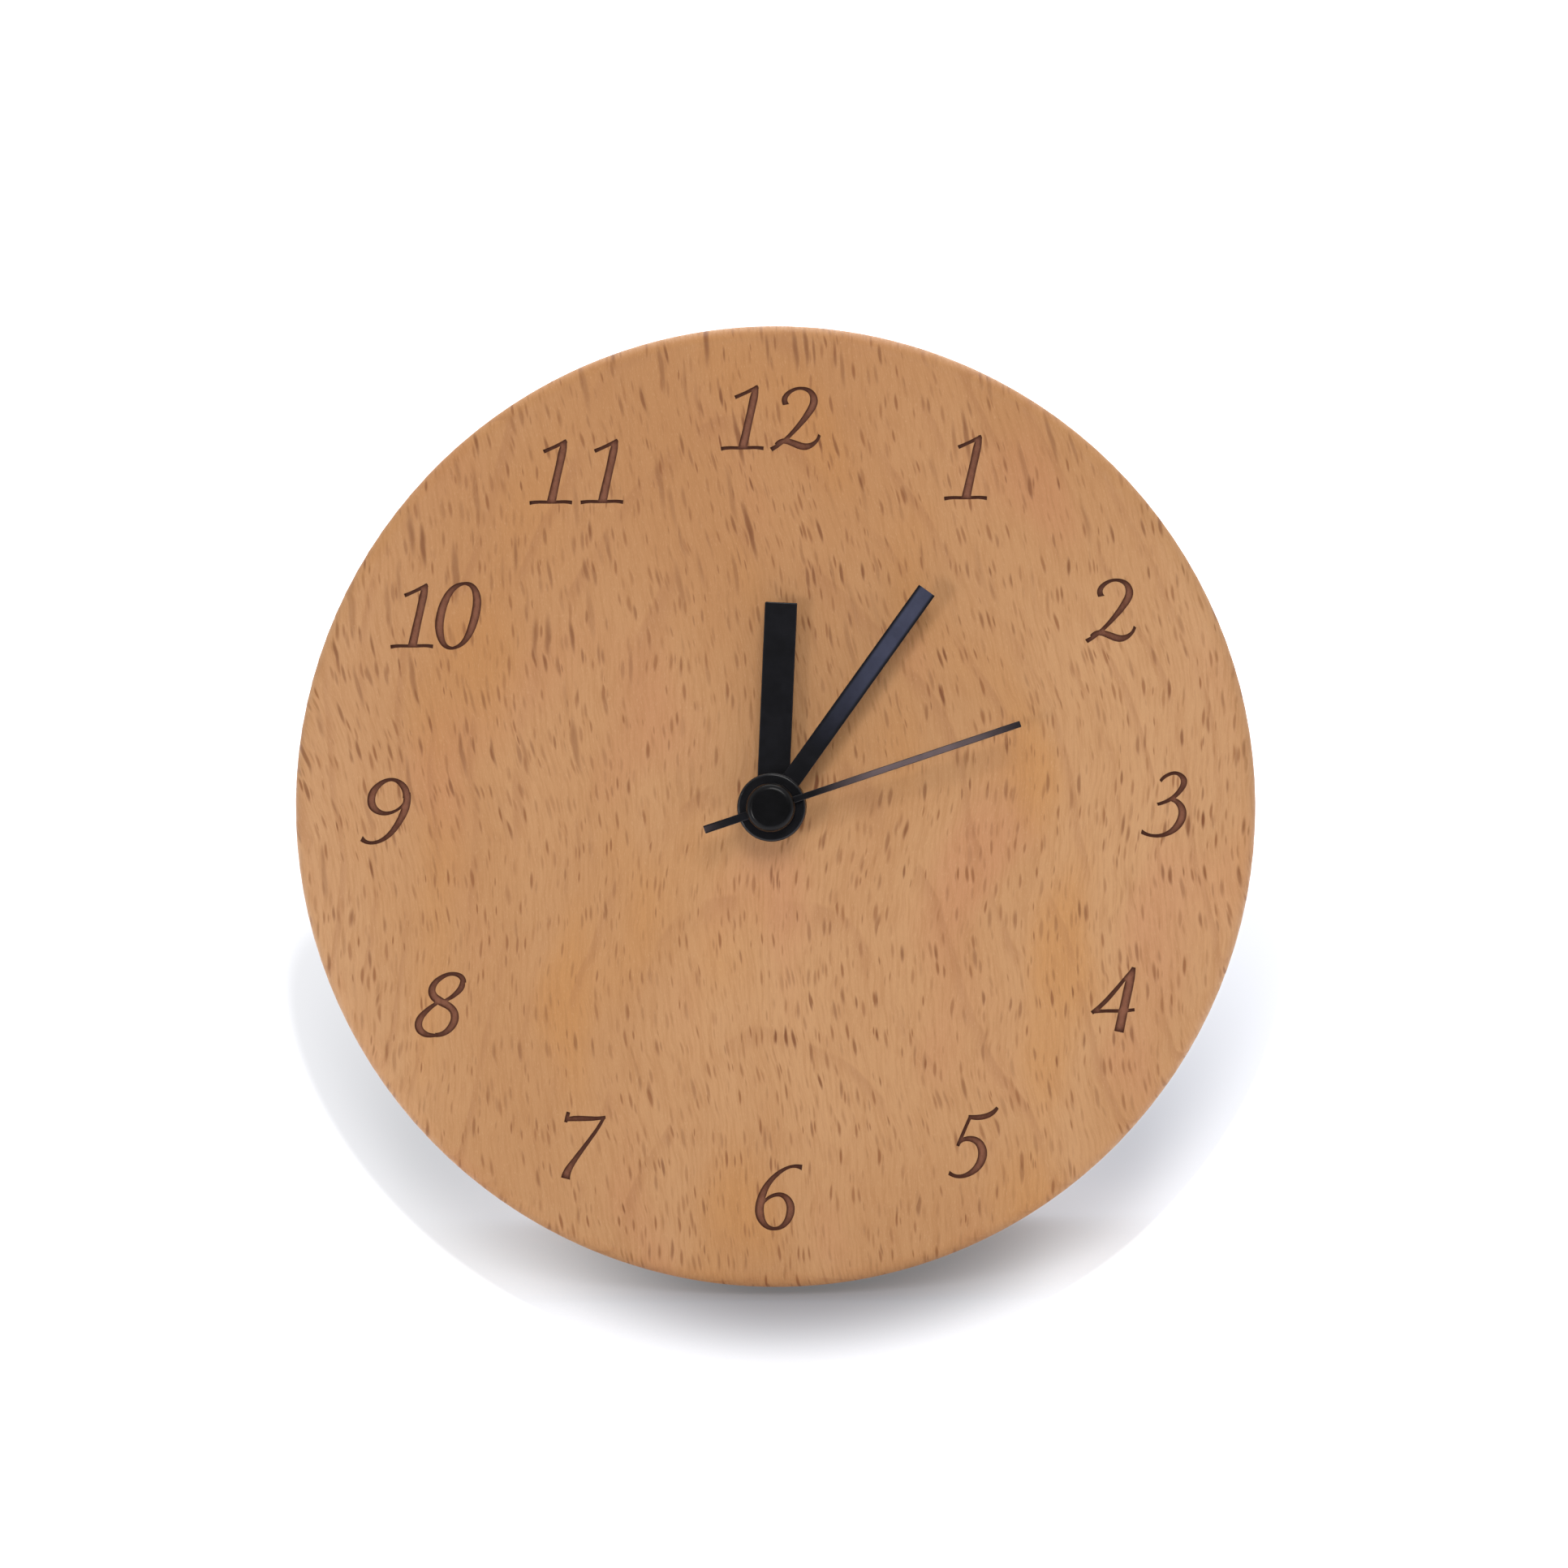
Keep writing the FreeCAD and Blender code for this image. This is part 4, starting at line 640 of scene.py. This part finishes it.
def make_paper():
    """White paper that clips to white in the open and keeps the clock's shadow; its glow also
    holds a painted shadow below the disc.
    """
    shader = Shader("white_paper")
    path = shader.light_path()
    x, y, _ = shader.split(shader.coordinates("Object"))
    side, rise = in_picture(shader, x, y)
    away = shader.length(side, rise)
    mirrored = shader.times(path["Is Glossy Ray"], shader.shape(y, -0.30, 0.10))
    seen = shader.math("MAXIMUM", path["Is Camera Ray"], mirrored)
    seen = shader.math("MAXIMUM", seen, path["Is Transmission Ray"])

    # Painted shadow: the glow is cut below the disc's edge, and the cut thins out towards the
    # sides, sooner on the left. The lamps light the open paper on their own, so it glows less
    # there.
    low = shader.math("MAXIMUM", shader.math("DIVIDE", rise, -DISC_RADIUS), 0.0)
    shade = shader.times(low, low,
                         shader.shape(away, DISC_RADIUS - 2 * MM, SHADE_RADIUS, 1.12, 0.0),
                         shader.shape(side, 0.0, -34 * MM, 1.0, 0.67))
    left = shader.shape(side, -24 * MM, -48 * MM)
    lit = shader.math("ADD", shader.math("MULTIPLY_ADD", left, 0.10, 0.08),
                      shader.shape(side, 32 * MM, 46 * MM, 0.0, 0.19))
    glow = shader.math("POWER", shader.math("MULTIPLY_ADD", shade, -0.46, 1.0), 2.2)
    glow = shader.math("SUBTRACT", glow, lit)
    glow = shader.math("ADD", glow, shader.shape(shade, 0.06, 0.0, 0.0, 0.60))

    # Behind the disc, where the picture doesn't see it, the glow is halved, a painted shade that
    # fades out to the rear.
    hidden = shader.shape(away, DISC_RADIUS, DISC_RADIUS - 3 * MM)
    rear = shader.shape(y, 20 * MM, 160 * MM, 0.5, 1.0)
    glow = shader.times(glow, shader.math("SUBTRACT", 1.0, hidden))
    glow = shader.math("MULTIPLY_ADD", hidden, rear, glow)

    # To the camera the paper is grey, darker on the left, so that the painted shadow in the glow
    # shows more than the lamps' own shading.
    near = shader.mix(left, colour(141, 144, 152), colour(88, 90, 95))
    paper = shader.mix(path["Is Camera Ray"], colour(242, 243, 250), near)
    shader.set(Base_Color=paper, Roughness=0.9, Specular_IOR_Level=0.0,
               Emission_Color=PAPER_GLOW, Emission_Strength=shader.times(glow, seen))
    return shader.material


def make_ground():
    """The sheet of paper that the clock stands on."""
    half = GROUND_HALF_WIDTH
    sheet = bpy.data.meshes.new("ground")
    sheet.from_pydata([(-half, -half, 0), (half, -half, 0), (half, half, 0), (-half, half, 0)],
                      [], [(0, 1, 2, 3)])
    piece = bpy.data.objects.new("ground", sheet)
    bpy.context.scene.collection.objects.link(piece)
    sheet.materials.append(make_paper())


def make_world():
    """White to the eye and in mirrors, but dim in mirrors where the camera stands, as a
    room is; and a faint lavender dome for the light."""
    world = bpy.data.worlds.new("studio")
    bpy.context.scene.world = world
    world.use_nodes = True
    studio = Nodes(world.node_tree)
    path = studio.light_path()
    _, depth, _ = studio.split(studio.coordinates("Generated"))
    mirrored = studio.shape(depth, -0.95, -0.35, 0.06, 1.0)
    seen = studio.math("MAXIMUM", path["Is Camera Ray"], path["Is Transmission Ray"])
    light = studio.mix(path["Is Glossy Ray"], DOME_LIGHT, mirrored)
    light = studio.mix(seen, light, WHITE)
    studio.feed(world.node_tree.nodes["Background"].inputs["Color"], light)


def make_lamp(name, place, width, share, tint):
    """A square soft lamp, aimed at the dial's centre, where its light, face on, is a share
    of plain white."""
    data = bpy.data.lights.new(name, "AREA")
    data.shape = "SQUARE"
    data.size = width
    data.color = tint
    lamp = bpy.data.objects.new(name, data)
    bpy.context.scene.collection.objects.link(lamp)
    lamp.location = place
    away = Vector(place) - DIAL_CENTRE
    lamp.rotation_euler = away.to_track_quat("Z", "Y").to_euler()
    data.energy = share * math.pi ** 2 * away.length_squared


make_ground()
make_world()
for lamp in LAMPS:
    make_lamp(*lamp)


# The camera: a long lens, a little to the right of the dial's normal.

PICTURE_WIDTH = 194.8 * MM
SENSOR_WIDTH = 36
CAMERA_RIGHT = math.radians(2.75)
CAMERA_UP = math.radians(0.5)
CAMERA_ROLL = math.radians(0.55)
CENTRE_SHIFT = (1.28 * MM, 2.84 * MM)


def make_camera():
    view = (DIAL_NORMAL + math.tan(CAMERA_RIGHT) * DIAL_RIGHT
            + math.tan(CAMERA_UP) * DIAL_UP).normalized()
    upward = DIAL_UP * math.cos(CAMERA_ROLL) + DIAL_RIGHT * math.sin(CAMERA_ROLL)
    right = upward.cross(view).normalized()
    upward = view.cross(right)
    target = DIAL_CENTRE + CENTRE_SHIFT[0] * right + CENTRE_SHIFT[1] * upward
    data = bpy.data.cameras.new("camera")
    data.sensor_width = SENSOR_WIDTH
    data.lens = SENSOR_WIDTH * CAMERA_DISTANCE / PICTURE_WIDTH
    data.clip_start = 0.05
    data.clip_end = 20
    camera = bpy.data.objects.new("camera", data)
    bpy.context.scene.collection.objects.link(camera)
    turn = Matrix((right, upward, view)).transposed().to_4x4()
    turn.translation = target + CAMERA_DISTANCE * view
    camera.matrix_world = turn
    bpy.context.scene.camera = camera


make_camera()
bpy.context.scene.view_settings.view_transform = "Standard"

bpy.context.view_layer.update()
